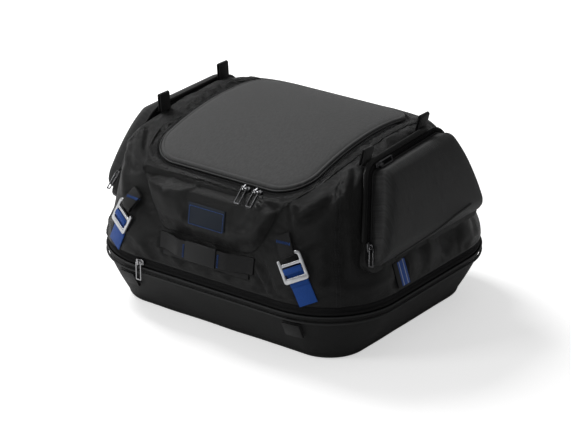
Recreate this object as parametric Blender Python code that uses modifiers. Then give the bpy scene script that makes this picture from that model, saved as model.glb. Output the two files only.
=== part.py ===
# Rear cargo bag for a motorcycle: a moulded tub, an expansion zip, a fabric body, a zipped
# lid, two moulded side pockets, webbing handles and loops, and four strap hooks.
# Metres, +Z up, X along the bag's width, -Y the front with the handle.
# The origin is the middle of the flat underside.

import math

import bmesh
import bpy
from mathutils import Matrix, Vector
from mathutils.bvhtree import BVHTree

# Clearances and stuff thicknesses
GAP = 0.0003
STRAP_GAP = 0.0004
TUB_WALL = 0.0040
FABRIC_WALL = 0.0035
MOULDED_WALL = 0.0030
WEBBING = 0.0016

# Tub: flat underside, flared walls, piped seam and rim
BAG_HALF_WIDTH = 0.250
BAG_HALF_DEPTH = 0.216
BAG_CORNER = 0.120
FOOT_INSET = 0.039
FOOT_CORNER = 0.062
FOOT_EDGE = 0.010
PIPING_Z = 0.072
PIPING_RADIUS = 0.0018
RIM_Z = 0.083
RIM_LEAN = 0.002

# Expansion zip between the tub's rim and the body
ZIP_BAND_HEIGHT = 0.0145
ZIP_RECESS = 0.002

# Body: four leaning walls below a crowned top
SIDE_LEAN = 0.34
FRONT_LEAN = 0.15
BACK_LEAN = 0.42
SHOULDER_CORNER = 0.075
SHOULDER_ROUND = 0.014
CROWN_TOP = 0.2865
CROWN_MIDDLE_Y = 0.030
CROWN_ALONG = 1.00
CROWN_BACK = 1.40
CROWN_FLAT = 0.090
CROWN_FALL = 0.20

# Lid, its zip and the ledge that carries them
LID_HALF_WIDTH = 0.138
LID_FRONT_INSET = 0.0405
LID_BACK_INSET = 0.092
LID_FRONT = LID_FRONT_INSET - BAG_HALF_DEPTH
LID_BACK = BAG_HALF_DEPTH - LID_BACK_INSET
LID_CORNER = 0.052
LID_THICKNESS = 0.0065
LID_EDGE_ROUND = 0.003
LEDGE_DROP = 0.0040
LEDGE_GAP = 0.0006
LEDGE_WIDTH = 0.010
LID_ZIP_WIDTH = 0.0160
LID_TAPE_THICKNESS = 0.0012
LID_HINGE_GAP = 0.0010
LID_PIPING_RADIUS = 0.0014
LID_RING_SHARE = 0.62

# Bib: the padded front panel that hangs below the lid, with its blank patch
BIB_TOP_HALF_WIDTH = 0.146
BIB_FOOT_HALF_WIDTH = 0.088
BIB_FOOT_Z = 0.152
BIB_TOP_Z = 0.2285
BIB_DEPTH = 0.013
BIB_CORNER = 0.022
BIB_FACE_INSET = 0.024
PATCH_WIDTH = 0.066
PATCH_HEIGHT = 0.032
PATCH_X = 0.004
PATCH_Z = 0.191
PATCH_THICKNESS = 0.0012

# Side pockets, measured in the leaning plane of the bag's side
POCKET_FOOT_Z = 0.1475
POCKET_HEIGHT = 0.131
POCKET_FRONT_HEIGHT = 0.123
POCKET_FOOT_FRONT = -0.141
POCKET_FOOT_BACK = 0.134
POCKET_TOP_FRONT = -0.081
POCKET_TOP_BACK = 0.094
POCKET_FOOT_CORNER = 0.008
POCKET_TOP_CORNER = 0.016
POCKET_CREST = 0.024
POCKET_BELLY = 0.080
POCKET_DEPTH_FOOT = 0.018
POCKET_DEPTH_CREST = 0.033
POCKET_DEPTH_BELLY = 0.0385
POCKET_DEPTH_TOP = 0.029
POCKET_FRAME_THICKNESS = 0.0025
POCKET_FRAME_INSIDE = 0.007
POCKET_FRAME_OUTSIDE = 0.010
POCKET_TAPE_THICKNESS = 0.0012
POCKET_TAPE_GAP = 0.0006

# Webbing loops, tabs and handles
STRAP_WIDTH = 0.0285
LOOP_WIDTH = 0.0215
LOOP_HEIGHT = 0.027
LOOP_OPENING = 0.0030
LOOP_X = 0.182
LOOP_ROOM = 0.0065
LOOP_FRONT_Y = -0.080
LOOP_BACK_Y = 0.062
LOOP_LEAN_LEFT = math.radians(4)
LOOP_LEAN_RIGHT = math.radians(14)
TAB_X = 0.150
TAB_HEIGHT = 0.027
TAB_OPENING = 0.0035
HANDLE_Z = 0.1355
HANDLE_HALF_LENGTH = 0.085
HANDLE_HEIGHT = 0.025
HANDLE_REACH = 0.0145
HANDLE_RAMP = 0.032
STRIP_HALF_LENGTH = 0.078
HANDLE_END = 0.012
GRIP_HALF_LENGTH = 0.0275
GRIP_WALL = 0.0016
HANDLE_STRIP_Z = 0.1185
HANDLE_STRIP_HEIGHT = 0.008
SIDE_TAB_Y = -0.073
SIDE_TAB_FOOT_Z = 0.1015
SIDE_TAB_TOP_Z = 0.1365

# Compression straps: webbing loop above, hook between, blue strap below
STRAP_TOP_X = 0.131
STRAP_TOP_Z = 0.196
STRAP_FOOT_X = 0.178
STRAP_FOOT_Z = 0.1015
STRAP_FOLD = 0.030
BOARD_THICKNESS = 0.003
BOARD_MARGIN = 0.006
HOOK_HALF_WIDTH = 0.0193
HOOK_THICKNESS = 0.0035
HOOK_STAND_OFF = 0.0100
HOOK_CORNER = 0.004
HOOK_BAR = 0.0045
HOOK_FOOT_BAR = 0.0080
HOOK_MIDDLE_BAR = 0.0050
HOOK_FRAME_HEIGHT = 0.0290
HOOK_THROAT = 0.0100
HOOK_TIP = 0.0070
HOOK_FINGER_LENGTH = 0.0150
HOOK_PLACE_SHARE = 0.48
HOOK_BAR_SHARE = 0.61
LOOP_CLEARANCE = 0.0005

# Zip sliders and pullers
SLIDER_LENGTH = 0.0140
SLIDER_WIDTH = 0.0090
SLIDER_HEIGHT = 0.0026
BRIDGE_WIDTH = 0.0026
BRIDGE_LENGTH = 0.0070
BRIDGE_WALL = 0.0011
PULLER_LENGTH = 0.0290
PULLER_WIDTH = 0.0100
PULLER_THICKNESS = 0.0015
PULLER_FRAME = 0.0017
PULLER_CLEARANCE = 0.0005
BRIDGE_RISE = 0.0016
LID_SLIDER_X = (0.0530, 0.0740)
LID_PULLER_DROOP = math.radians(19)
BASE_SLIDER_X = -0.122
POCKET_SLIDER_RISE = 0.029
POCKET_SLIDER_BACK = 0.016
POCKET_SLIDER_OUT = 0.0056

ARC_STEPS = 5
RING_ARC_STEPS = 8

PARTS = "rear_cargo_bag"
CUTTERS = "cutters"

# The finished tub and body, which the straps, loops and tabs are seated on
SURFACES = {}


def clear_scene():
    for old in list(bpy.data.objects):
        bpy.data.objects.remove(old)


def collection(name):
    made = bpy.data.collections.new(name)
    bpy.context.scene.collection.children.link(made)
    return made


def evaluated_graph():
    bpy.context.view_layer.update()
    return bpy.context.evaluated_depsgraph_get()


def material(name, colour, roughness, metallic=0.0):
    made = bpy.data.materials.new(name)
    made.use_nodes = True
    shader = made.node_tree.nodes["Principled BSDF"]
    shader.inputs["Base Color"].default_value = (*colour, 1)
    shader.inputs["Roughness"].default_value = roughness
    shader.inputs["Metallic"].default_value = metallic
    return made


def add_part(name, mesh_data, stuff, place=None, smooth=True):
    """Put a finished bmesh or mesh into the bag as one named piece."""
    if isinstance(mesh_data, bmesh.types.BMesh):
        mesh = bpy.data.meshes.new(name)
        bmesh.ops.recalc_face_normals(mesh_data, faces=mesh_data.faces)
        mesh_data.to_mesh(mesh)
        mesh_data.free()
    else:
        mesh = mesh_data
    part = bpy.data.objects.new(name, mesh)
    if not mesh.materials:
        mesh.materials.append(stuff)
    if place is not None:
        part.matrix_world = place
    bpy.data.collections[PARTS].objects.link(part)
    if smooth:
        mesh.shade_smooth()
        mesh.set_sharp_from_angle(angle=math.radians(35))
    return part


def solidify(part, thickness, offset=-1.0):
    wall = part.modifiers.new("wall", "SOLIDIFY")
    wall.thickness = thickness
    wall.offset = offset
    wall.use_even_offset = True


def mix(a, b, share):
    return a + (b - a) * share


def arc(centre, radius, start, end, steps):
    """Points from start to end, in degrees, both ends included."""
    points = []
    for step in range(steps + 1):
        angle = math.radians(mix(start, end, step / steps))
        points.append((centre[0] + radius * math.cos(angle), centre[1] + radius * math.sin(angle)))
    return points


def rounded_polygon(corners, radius, steps=ARC_STEPS, side_steps=1):
    """An outline through the corners, each one rounded by an arc that touches both sides.
    A corner may carry its own radius as a third number. Each straight side between two arcs
    is cut into side_steps stretches."""
    bends = []
    count = len(corners)
    for index, corner in enumerate(corners):
        here = Vector(corner[:2])
        before = Vector(corners[index - 1][:2]) - here
        after = Vector(corners[(index + 1) % count][:2]) - here
        own = corner[2] if len(corner) > 2 else radius
        half = before.angle(after) / 2
        cut = min(own / math.tan(half), 0.45 * before.length, 0.45 * after.length)
        own = cut * math.tan(half)
        if own < 1e-6:
            bends.append([tuple(here)])
            continue
        middle = here + (before.normalized() + after.normalized()).normalized() * own / math.sin(half)
        first = here + before.normalized() * cut - middle
        last = here + after.normalized() * cut - middle
        turn = first.angle_signed(last)
        bend = []
        for step in range(steps + 1):
            spun = first.copy()
            spun.rotate(Matrix.Rotation(-turn * step / steps, 2))
            bend.append(tuple(middle + spun))
        bends.append(bend)
    points = []
    for index, bend in enumerate(bends):
        points.extend(bend)
        start = Vector(bend[-1])
        end = Vector(bends[(index + 1) % count][0])
        points.extend(tuple(start.lerp(end, step / side_steps)) for step in range(1, side_steps))
    return points


def plan_ring(half_width, front, back, corner, side_steps=6):
    """A rounded rectangle seen from above, anticlockwise from the front right corner,
    with the same number of points for any size."""
    points = []
    centres = (
        (half_width - corner, front + corner, -90),
        (half_width - corner, back - corner, 0),
        (-half_width + corner, back - corner, 90),
        (-half_width + corner, front + corner, 180),
    )
    for index, (x, y, start) in enumerate(centres):
        bend = arc((x, y), corner, start, start + 90, RING_ARC_STEPS)
        points.extend(bend)
        following = centres[(index + 1) % 4]
        target = arc(following[:2], corner, following[2], following[2], 1)[0]
        for step in range(1, side_steps):
            share = step / side_steps
            points.append((mix(bend[-1][0], target[0], share), mix(bend[-1][1], target[1], share)))
    return points


def loft(rings, cap_first=False, cap_last=False, closed=False):
    """Skin rings of equal point counts with quads."""
    built = bmesh.new()
    loops = [[built.verts.new(point) for point in ring] for ring in rings]
    pairs = list(zip(loops, loops[1:]))
    if closed:
        pairs.append((loops[-1], loops[0]))
    for lower, upper in pairs:
        count = len(lower)
        for index in range(count):
            following = (index + 1) % count
            built.faces.new((lower[index], lower[following], upper[following], upper[index]))
    if cap_first:
        built.faces.new(list(reversed(loops[0])))
    if cap_last:
        built.faces.new(loops[-1])
    return built


def extruded(outline, thickness, holes=(), edge=0.0):
    """A flat outline with holes, as a filled 2D curve made into a welded mesh.
    It is centred on its own plane, as thick as asked, with its edges rounded by edge."""
    curve = bpy.data.curves.new("outline", "CURVE")
    curve.dimensions = "2D"
    curve.fill_mode = "BOTH"
    curve.extrude = thickness / 2 - edge
    curve.bevel_depth = edge
    curve.bevel_resolution = 1
    curve.offset = -edge
    for path in (outline, *holes):
        spline = curve.splines.new("POLY")
        spline.points.add(len(path) - 1)
        for point, (x, y) in zip(spline.points, path):
            point.co = (x, y, 0, 1)
        spline.use_cyclic_u = True
    return welded_mesh(curve)


def welded_mesh(curve):
    """The mesh of a curve, with its loose caps joined on."""
    holder = bpy.data.objects.new("holder", curve)
    bpy.data.collections[CUTTERS].objects.link(holder)
    mesh = bpy.data.meshes.new_from_object(holder.evaluated_get(evaluated_graph()))
    bpy.data.objects.remove(holder)
    built = bmesh.new()
    built.from_mesh(mesh)
    bmesh.ops.remove_doubles(built, verts=built.verts, dist=1e-6)
    bmesh.ops.recalc_face_normals(built, faces=built.faces)
    built.to_mesh(mesh)
    built.free()
    mesh.materials.clear()
    return mesh


def tube(points, radius, cyclic=False, sides=2):
    """A round bar along points, with filled caps where it isn't a ring."""
    curve = bpy.data.curves.new("tube", "CURVE")
    curve.dimensions = "3D"
    curve.bevel_depth = radius
    curve.bevel_resolution = sides
    curve.use_fill_caps = not cyclic
    spline = curve.splines.new("POLY")
    spline.points.add(len(points) - 1)
    for point, place in zip(spline.points, points):
        point.co = (*place, 1)
    spline.use_cyclic_u = cyclic
    return welded_mesh(curve)


def frame_of(origin, along, outward):
    """A placing matrix: X along, Z outward, Y to the side that makes it right-handed."""
    z = Vector(outward).normalized()
    x = Vector(along)
    x = (x - z * x.dot(z)).normalized()
    y = z.cross(x)
    placed = Matrix((x, y, z)).transposed().to_4x4()
    placed.translation = Vector(origin)
    return placed


# The bag's own surfaces

BODY_Z = RIM_Z + ZIP_BAND_HEIGHT + 2 * GAP


def crown(x, y):
    """Height of the crowned top."""
    side = max(0.0, abs(x) - CROWN_FLAT)
    along = CROWN_ALONG if y < CROWN_MIDDLE_Y else CROWN_BACK
    return CROWN_TOP - along * (y - CROWN_MIDDLE_Y) ** 2 - CROWN_FALL * side * side


def side_x(z):
    return BAG_HALF_WIDTH - SIDE_LEAN * (z - BODY_Z)


def front_y(z):
    return -BAG_HALF_DEPTH + FRONT_LEAN * (z - BODY_Z)


def back_y(z):
    return BAG_HALF_DEPTH - BACK_LEAN * (z - BODY_Z)


def wall_ring(share):
    """A ring of the body's walls, from the zip band at 0 to the shoulder at 1. Its straight
    stretches lie in the leaning planes of side_x, front_y and back_y."""
    shoulder_z = crown(BAG_HALF_WIDTH - SIDE_LEAN * (CROWN_TOP - BODY_Z), 0)
    corner = mix(BAG_CORNER, SHOULDER_CORNER, share)
    nominal_z = mix(BODY_Z, shoulder_z, share)
    half_width = side_x(nominal_z)
    front = front_y(nominal_z)
    back = back_y(nominal_z)
    ring = []
    for x, y in plan_ring(half_width, front, back, corner):
        z = mix(BODY_Z, crown(x, y), share)
        y_limit = (front_y(z) / front) if y < 0 else (back_y(z) / back)
        ring.append((x * side_x(z) / half_width, y * y_limit, z))
    return ring


def top_ring(half_width, front, back, corner, drop=0.0):
    """A ring that lies on the crown, or a drop below it."""
    return [(x, y, crown(x, y) - drop) for x, y in plan_ring(half_width, front, back, corner)]


def lid_outline(grow=0.0, back_grow=None):
    back = LID_BACK + (grow if back_grow is None else back_grow)
    return LID_HALF_WIDTH + grow, LID_FRONT - grow, back, LID_CORNER + grow


# Tub, piping and expansion zip


def tub_half_sizes(z):
    """Half width and half depth of the tub's outside at a height above its foot's edge."""
    share = (z - FOOT_EDGE) / (RIM_Z - FOOT_EDGE)
    inset = FOOT_INSET * (1 - share) ** 1.25 + RIM_LEAN * share * (1 - share)
    return BAG_HALF_WIDTH - inset, BAG_HALF_DEPTH - inset, mix(FOOT_CORNER, BAG_CORNER, share)


def tub_ring(z, grow=0.0):
    half_width, half_depth, corner = tub_half_sizes(z)
    ring = plan_ring(half_width + grow, -half_depth - grow, half_depth + grow, corner + grow)
    return [(x, y, z) for x, y in ring]


def build_tub(stuff):
    rings = []
    half_width, half_depth, corner = tub_half_sizes(FOOT_EDGE)
    for angle in (0, 30, 60):
        inset = FOOT_EDGE * (1 - math.sin(math.radians(angle)))
        z = FOOT_EDGE * (1 - math.cos(math.radians(angle)))
        ring = plan_ring(half_width - inset, -half_depth + inset, half_depth - inset, corner - inset)
        rings.append([(x, y, z) for x, y in ring])
    for share in (0, 0.35, 0.7, 1):
        rings.append(tub_ring(mix(FOOT_EDGE, PIPING_Z, share)))
    rings.append(tub_ring(RIM_Z))
    mesh = finished_mesh(loft(rings, cap_first=True), Matrix(), TUB_WALL)
    for corner_point in mesh.vertices:
        corner_point.co.z = min(corner_point.co.z, RIM_Z)
    SURFACES["tub"] = BVHTree.FromObject(add_part("base_tub", mesh, stuff), evaluated_graph())


def build_tub_piping(stuff):
    ring = tub_ring(PIPING_Z, PIPING_RADIUS + 2 * GAP)
    add_part("tub_piping", tube(ring, PIPING_RADIUS, cyclic=True), stuff)


def build_base_zip(stuff):
    half_width = BAG_HALF_WIDTH - ZIP_RECESS
    half_depth = BAG_HALF_DEPTH - ZIP_RECESS
    plan = plan_ring(half_width, -half_depth, half_depth, BAG_CORNER - ZIP_RECESS)
    rings = [[(x, y, z) for x, y in plan] for z in (RIM_Z + GAP, RIM_Z + GAP + ZIP_BAND_HEIGHT)]
    band = add_part("base_zip_band", loft(rings), stuff)
    solidify(band, FABRIC_WALL)


# Body and lid


def build_body(stuff):
    shoulder_share = 1 - SHOULDER_ROUND / (CROWN_TOP - BODY_Z)
    shoulder = wall_ring(1)
    frame = top_ring(*lid_outline(LID_ZIP_WIDTH, LID_HINGE_GAP))
    below = wall_ring(shoulder_share)
    inner = []
    rounded = []
    for edge, rim, wall in zip(shoulder, frame, below):
        reach = Vector(rim) - Vector(edge)
        share = SHOULDER_ROUND / max(reach.length, 2 * SHOULDER_ROUND)
        x, y = mix(edge[0], rim[0], share), mix(edge[1], rim[1], share)
        inner.append((x, y, crown(x, y)))
        middle = (Vector(inner[-1]) + Vector(wall)) / 2
        rounded.append(tuple(middle.lerp(Vector(edge), 0.42)))
    rings = [wall_ring(0), wall_ring(0.5), below, rounded, inner, frame]
    step = 0.0004
    rings.append(top_ring(*lid_outline(LID_ZIP_WIDTH - step, LID_HINGE_GAP - step), LEDGE_DROP))
    rings.append(top_ring(*lid_outline(-LEDGE_WIDTH), LEDGE_DROP))
    mesh = finished_mesh(loft(rings), Matrix(), FABRIC_WALL)
    for corner_point in mesh.vertices:
        corner_point.co.z = max(corner_point.co.z, BODY_Z)
    SURFACES["body"] = BVHTree.FromObject(add_part("body_shell", mesh, stuff), evaluated_graph())


def build_lid(stuff, piping_stuff):
    """A crowned panel whose turned edge rests just above the ledge."""
    foot = -LEDGE_DROP + LEDGE_GAP
    top = foot + LID_THICKNESS
    rings = []
    for inset, height in (
        (0.022, foot),
        (0.0, foot),
        (0.0, top - LID_EDGE_ROUND),
        (LID_EDGE_ROUND * 0.3, top - LID_EDGE_ROUND * 0.3),
        (LID_EDGE_ROUND, top),
        (0.030, top + 0.0010),
    ):
        rings.append(top_ring(*lid_outline(-inset), -height))
    rings.insert(0, drawn_in(rings[0], LID_RING_SHARE, foot))
    rings.append(drawn_in(rings[-1], LID_RING_SHARE, top + 0.0016))
    lid = loft(rings)
    fill_grid(lid, rings[0], foot)
    fill_grid(lid, rings[-1], top + 0.0016)
    bmesh.ops.remove_doubles(lid, verts=lid.verts, dist=1e-6)
    hinge = Vector((0, LID_BACK + LID_HINGE_GAP / 2, crown(0, LID_BACK) + top))
    lid.transform(Matrix.Translation(-hinge))
    add_part("lid_panel", lid, stuff, Matrix.Translation(hinge))
    ring = top_ring(*lid_outline(LID_PIPING_RADIUS + GAP), -foot - LID_PIPING_RADIUS - 0.0012)
    keep = [point for point in ring if point[1] < LID_BACK - LID_CORNER]
    start = next(i for i, point in enumerate(keep) if point[0] < 0)
    right = keep[:start]
    left = keep[start:]
    path = list(reversed(right)) + list(reversed(left))
    add_part("lid_piping", tube(path, LID_PIPING_RADIUS), piping_stuff)


def middle_of(ring):
    return sum(point[0] for point in ring) / len(ring), sum(point[1] for point in ring) / len(ring)


def drawn_in(ring, share, height):
    """A ring shrunk towards its middle and laid on the crown again."""
    x_middle, y_middle = middle_of(ring)
    shrunk = [(mix(x_middle, x, share), mix(y_middle, y, share)) for x, y, _ in ring]
    return [(x, y, crown(x, y) + height) for x, y in shrunk]


def fill_grid(built, ring, height):
    """Close a ring on the crown with a small fan of strips towards its middle."""
    x_middle, y_middle = middle_of(ring)
    edge = [built.verts.new(point) for point in ring]
    half = [built.verts.new(point) for point in drawn_in(ring, 0.5, height)]
    centre = built.verts.new((x_middle, y_middle, crown(x_middle, y_middle) + height))
    count = len(ring)
    for index in range(count):
        following = (index + 1) % count
        built.faces.new((edge[index], edge[following], half[following], half[index]))
        built.faces.new((half[index], half[following], centre))


def build_lid_tape(stuff):
    """The zip tape lies on the ledge round three sides of the lid."""
    low = LEDGE_DROP - LEDGE_GAP
    inner_grow = 2 * LID_PIPING_RADIUS + 2 * GAP
    outer_grow = LID_ZIP_WIDTH - 0.0008
    corners = []
    for grow, drop in ((inner_grow, low), (outer_grow, low), (outer_grow, low), (inner_grow, low)):
        corners.append(top_ring(*lid_outline(grow), drop))
    sections = []
    tape_end = LID_BACK + LID_HINGE_GAP - LID_CORNER - LID_ZIP_WIDTH
    for a, b, c, d in zip(*corners):
        if a[1] > tape_end:
            continue
        rise = LID_TAPE_THICKNESS
        sections.append([a, b, (c[0], c[1], c[2] + rise), (d[0], d[1], d[2] + rise)])
    start = next(i for i, section in enumerate(sections) if section[0][0] < 0)
    ordered = list(reversed(sections[:start])) + list(reversed(sections[start:]))
    add_part("lid_zip_tape", loft(ordered, cap_first=True, cap_last=True), stuff)


# Walls to seat pieces on


def plan_edge(x, half_width, half_depth, corner):
    """How far a rounded rectangle reaches in Y at a place along its width."""
    beyond = abs(x) - (half_width - corner)
    if beyond <= 0:
        return half_depth
    return half_depth - corner + math.sqrt(max(corner * corner - beyond * beyond, 0.0))


def end_wall(x, z, side):
    """Y of the bag's front wall, side -1, or back wall, side 1."""
    if z < RIM_Z:
        return side * plan_edge(x, *tub_half_sizes(max(z, FOOT_EDGE)))
    share = min(max((z - BODY_Z) / (CROWN_TOP - BODY_Z), 0.0), 1.0)
    depth = -front_y(z) if side < 0 else back_y(z)
    return side * plan_edge(x, side_x(z), depth, mix(BAG_CORNER, SHOULDER_CORNER, share))


def wall_frame(x, z, side, up):
    """A frame on an end wall: X across, Y as near as can be to up, Z outward."""
    step = 0.001
    across = (end_wall(x + step, z, side) - end_wall(x - step, z, side)) / (2 * step)
    rise = (end_wall(x, z + step, side) - end_wall(x, z - step, side)) / (2 * step)
    outward = Vector((-across, 1, -rise)).normalized() * side
    upward = Vector(up)
    upward = (upward - outward * upward.dot(outward)).normalized()
    sideways = upward.cross(outward)
    placed = Matrix((sideways, upward, outward)).transposed().to_4x4()
    placed.translation = Vector((x, end_wall(x, z, side), z))
    return placed


def surface_height(surface, placed, across, up):
    """How high a finished surface stands over the frame's own plane."""
    start = placed @ Vector((across, up, 0.06))
    outward = placed.to_3x3() @ Vector((0, 0, 1))
    hit = SURFACES[surface].ray_cast(start, -outward, 0.12)
    return -1.0 if hit[0] is None else 0.06 - hit[3]


def seat_height(surface, placed, ups, half_width):
    """The lowest middle line of a strap that lies across a surface there."""
    samples = [half_width * (step / 4 - 1) for step in range(9)]
    heights = [surface_height(surface, placed, across, up) for up in ups for across in samples]
    return max(heights) + STRAP_GAP + WEBBING / 2


def edge_on(placed):
    """Turns a frame so that a flat outline drawn in it lies in the strap's edge:
    outline X goes up the strap, outline Y goes outward and its thickness goes across."""
    turned = Matrix((placed.col[1][:3], placed.col[2][:3], placed.col[0][:3])).transposed().to_4x4()
    turned.translation = placed.translation
    return turned


def ribbon(path, thickness):
    """The outline of a strap seen edge on: a path given a thickness."""
    left = []
    right = []
    for index, place in enumerate(path):
        here = Vector(place)
        before = (here - Vector(path[index - 1])).normalized() if index else None
        after = (Vector(path[index + 1]) - here).normalized() if index < len(path) - 1 else None
        before = before or after
        after = after or before
        first = Vector((-before.y, before.x))
        normal = (first + Vector((-after.y, after.x))).normalized()
        reach = thickness / 2 / max(normal.dot(first), 0.5)
        left.append(tuple(here + normal * reach))
        right.append(tuple(here - normal * reach))
    return left + right[::-1]


def add_strap(name, path, width, placed, stuff):
    return add_part(name, extruded(ribbon(path, WEBBING), width), stuff, edge_on(placed))


# Padded front panel and patch


def offset_corners(corners, grow):
    """The corners of an anticlockwise outline whose sides have moved out by grow."""
    moved = []
    count = len(corners)
    for index in range(count):
        here = Vector(corners[index][:2])
        before = (here - Vector(corners[index - 1][:2])).normalized()
        after = (Vector(corners[(index + 1) % count][:2]) - here).normalized()
        first = Vector((before.y, -before.x))
        outward = (first + Vector((after.y, -after.x))).normalized()
        place = here + outward * grow / outward.dot(first)
        radius = max(corners[index][2] + grow, 0.003)
        moved.append((place.x, place.y, radius))
    return moved


def outline_ring(corners, grow, side_steps=1):
    return rounded_polygon(offset_corners(corners, grow), 0.0, ARC_STEPS, side_steps)


def front_frame(z):
    """A frame on the flat middle of the front wall."""
    return wall_frame(0.0, z, -1, (0, 0, 1))


def build_bib(stuff, patch_stuff):
    height = (BIB_TOP_Z - BIB_FOOT_Z) / math.cos(math.atan(FRONT_LEAN))
    corners = [
        (-BIB_FOOT_HALF_WIDTH, 0, BIB_CORNER),
        (BIB_FOOT_HALF_WIDTH, 0, BIB_CORNER),
        (BIB_TOP_HALF_WIDTH, height, BIB_CORNER / 2),
        (-BIB_TOP_HALF_WIDTH, height, BIB_CORNER / 2),
    ]
    rings = [[(x, y, -BIB_DEPTH) for x, y in outline_ring(corners, 0)]]
    for inset, rise in ((0, 0.12), (0.12, 0.45), (0.4, 0.85), (1, 1)):
        ring = outline_ring(corners, -inset * BIB_FACE_INSET)
        rings.append([(x, y, rise * BIB_DEPTH) for x, y in ring])
    placed = front_frame(BIB_FOOT_Z)
    block = loft(rings, cap_first=True, cap_last=True)
    block.transform(placed)
    bib = boolean(holder_of("bib_block", block), holder_of("bib_seat", body_solid(GAP)), "DIFFERENCE")
    add_part("front_bib", bib, stuff)
    outline = rounded_polygon(box_corners(PATCH_WIDTH, PATCH_HEIGHT), 0.0015, 2)
    up = (PATCH_Z - BIB_FOOT_Z) / math.cos(math.atan(FRONT_LEAN))
    seat = placed @ Matrix.Translation((PATCH_X, up, BIB_DEPTH + GAP + PATCH_THICKNESS / 2))
    add_part("blank_patch", extruded(outline, PATCH_THICKNESS), patch_stuff, seat)


def box_corners(width, height):
    return [(-width / 2, -height / 2), (width / 2, -height / 2), (width / 2, height / 2), (-width / 2, height / 2)]


# Side pockets


def pocket_frame_matrix():
    """X towards the back, Y up the leaning side, Z outward, on the right side's plane."""
    lean = math.atan(SIDE_LEAN)
    placed = Matrix((
        (0, 1, 0),
        (-math.sin(lean), 0, math.cos(lean)),
        (math.cos(lean), 0, math.sin(lean)),
    )).transposed().to_4x4()
    placed.translation = Vector((side_x(POCKET_FOOT_Z), 0, POCKET_FOOT_Z))
    return placed


POCKET_CORNERS = (
    (POCKET_FOOT_FRONT, 0, POCKET_FOOT_CORNER),
    (POCKET_FOOT_BACK, 0, POCKET_FOOT_CORNER),
    (POCKET_TOP_BACK, POCKET_HEIGHT, POCKET_TOP_CORNER),
    (POCKET_TOP_FRONT, POCKET_FRONT_HEIGHT, POCKET_TOP_CORNER),
)


def pocket_ring(grow, height):
    return [(x, y, height) for x, y in outline_ring(POCKET_CORNERS, grow)]


def pocket_depth(up):
    """Height of the cover over the side's plane at a distance up the pocket."""
    if up < POCKET_CREST:
        share = max(up, 0.0) / POCKET_CREST
        return mix(POCKET_DEPTH_FOOT, POCKET_DEPTH_CREST, math.sin(share * math.pi / 2))
    edge, depth = POCKET_CREST, POCKET_DEPTH_CREST
    if up > POCKET_BELLY:
        edge, depth = POCKET_HEIGHT, POCKET_DEPTH_TOP
    away = (up - POCKET_BELLY) / (edge - POCKET_BELLY)
    return mix(POCKET_DEPTH_BELLY, depth, away * away)


def body_solid(grow):
    """The body as a filled block, for cutting what sits against it."""
    rings = []
    for share in (0, 0.5, 1):
        ring = []
        for x, y, z in wall_ring(share):
            away = Vector((x, y)).normalized() * grow
            ring.append((x + away.x, y + away.y, z))
        rings.append(ring)
    rings.insert(0, [(x, y, z - 0.02) for x, y, z in rings[0]])
    edge = [(x, y, z + grow) for x, y, z in rings[-1]]
    rings[-1] = edge
    for share in (0.85, 0.2):
        rings.append([(x * share, y * share, crown(x * share, y * share) + grow) for x, y, _ in edge])
    return loft(rings, cap_first=True, cap_last=True)


def holder_of(name, built):
    mesh = bpy.data.meshes.new(name)
    bmesh.ops.recalc_face_normals(built, faces=built.faces)
    built.to_mesh(mesh)
    built.free()
    holder = bpy.data.objects.new(name, mesh)
    holder.hide_render = True
    holder.display_type = "WIRE"
    bpy.data.collections[CUTTERS].objects.link(holder)
    return holder


def boolean(base, other, operation):
    """The welded result of one exact Boolean between two holders."""
    change = base.modifiers.new("change", "BOOLEAN")
    change.operation = operation
    change.solver = "EXACT"
    change.object = other
    mesh = bpy.data.meshes.new_from_object(base.evaluated_get(evaluated_graph()))
    base.modifiers.remove(change)
    return mesh


def solid_wall(outer, inner, low, high):
    """A ring with upright walls between two outlines."""
    rings = []
    for ring, height in ((outer, low), (outer, high), (inner, high), (inner, low)):
        rings.append([(x, y, height) for x, y, _ in ring])
    return loft(rings, closed=True)


def mirror_mesh(mesh):
    copy = mesh.copy()
    copy.transform(Matrix.Scale(-1, 4, (1, 0, 0)))
    copy.flip_normals()
    return copy


def add_pair(name, mesh, stuff, origin):
    """A right-hand piece given in world places, and its mirror image on the left."""
    pieces = []
    for tag, own, flip in (("right", mesh.copy(), 1), ("left", mirror_mesh(mesh), -1)):
        place = Vector((origin[0] * flip, origin[1], origin[2]))
        own.transform(Matrix.Translation(-place))
        pieces.append(add_part(f"{name}_{tag}", own, stuff, Matrix.Translation(place)))
    return pieces


def finished_mesh(built, placed, thickness=0.0):
    """A bmesh, thickened inward if asked, placed in the world as a plain mesh."""
    holder = holder_of("shell", built)
    if thickness:
        solidify(holder, thickness)
    mesh = bpy.data.meshes.new_from_object(holder.evaluated_get(evaluated_graph()))
    mesh.transform(placed)
    bpy.data.objects.remove(holder)
    return mesh


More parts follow.
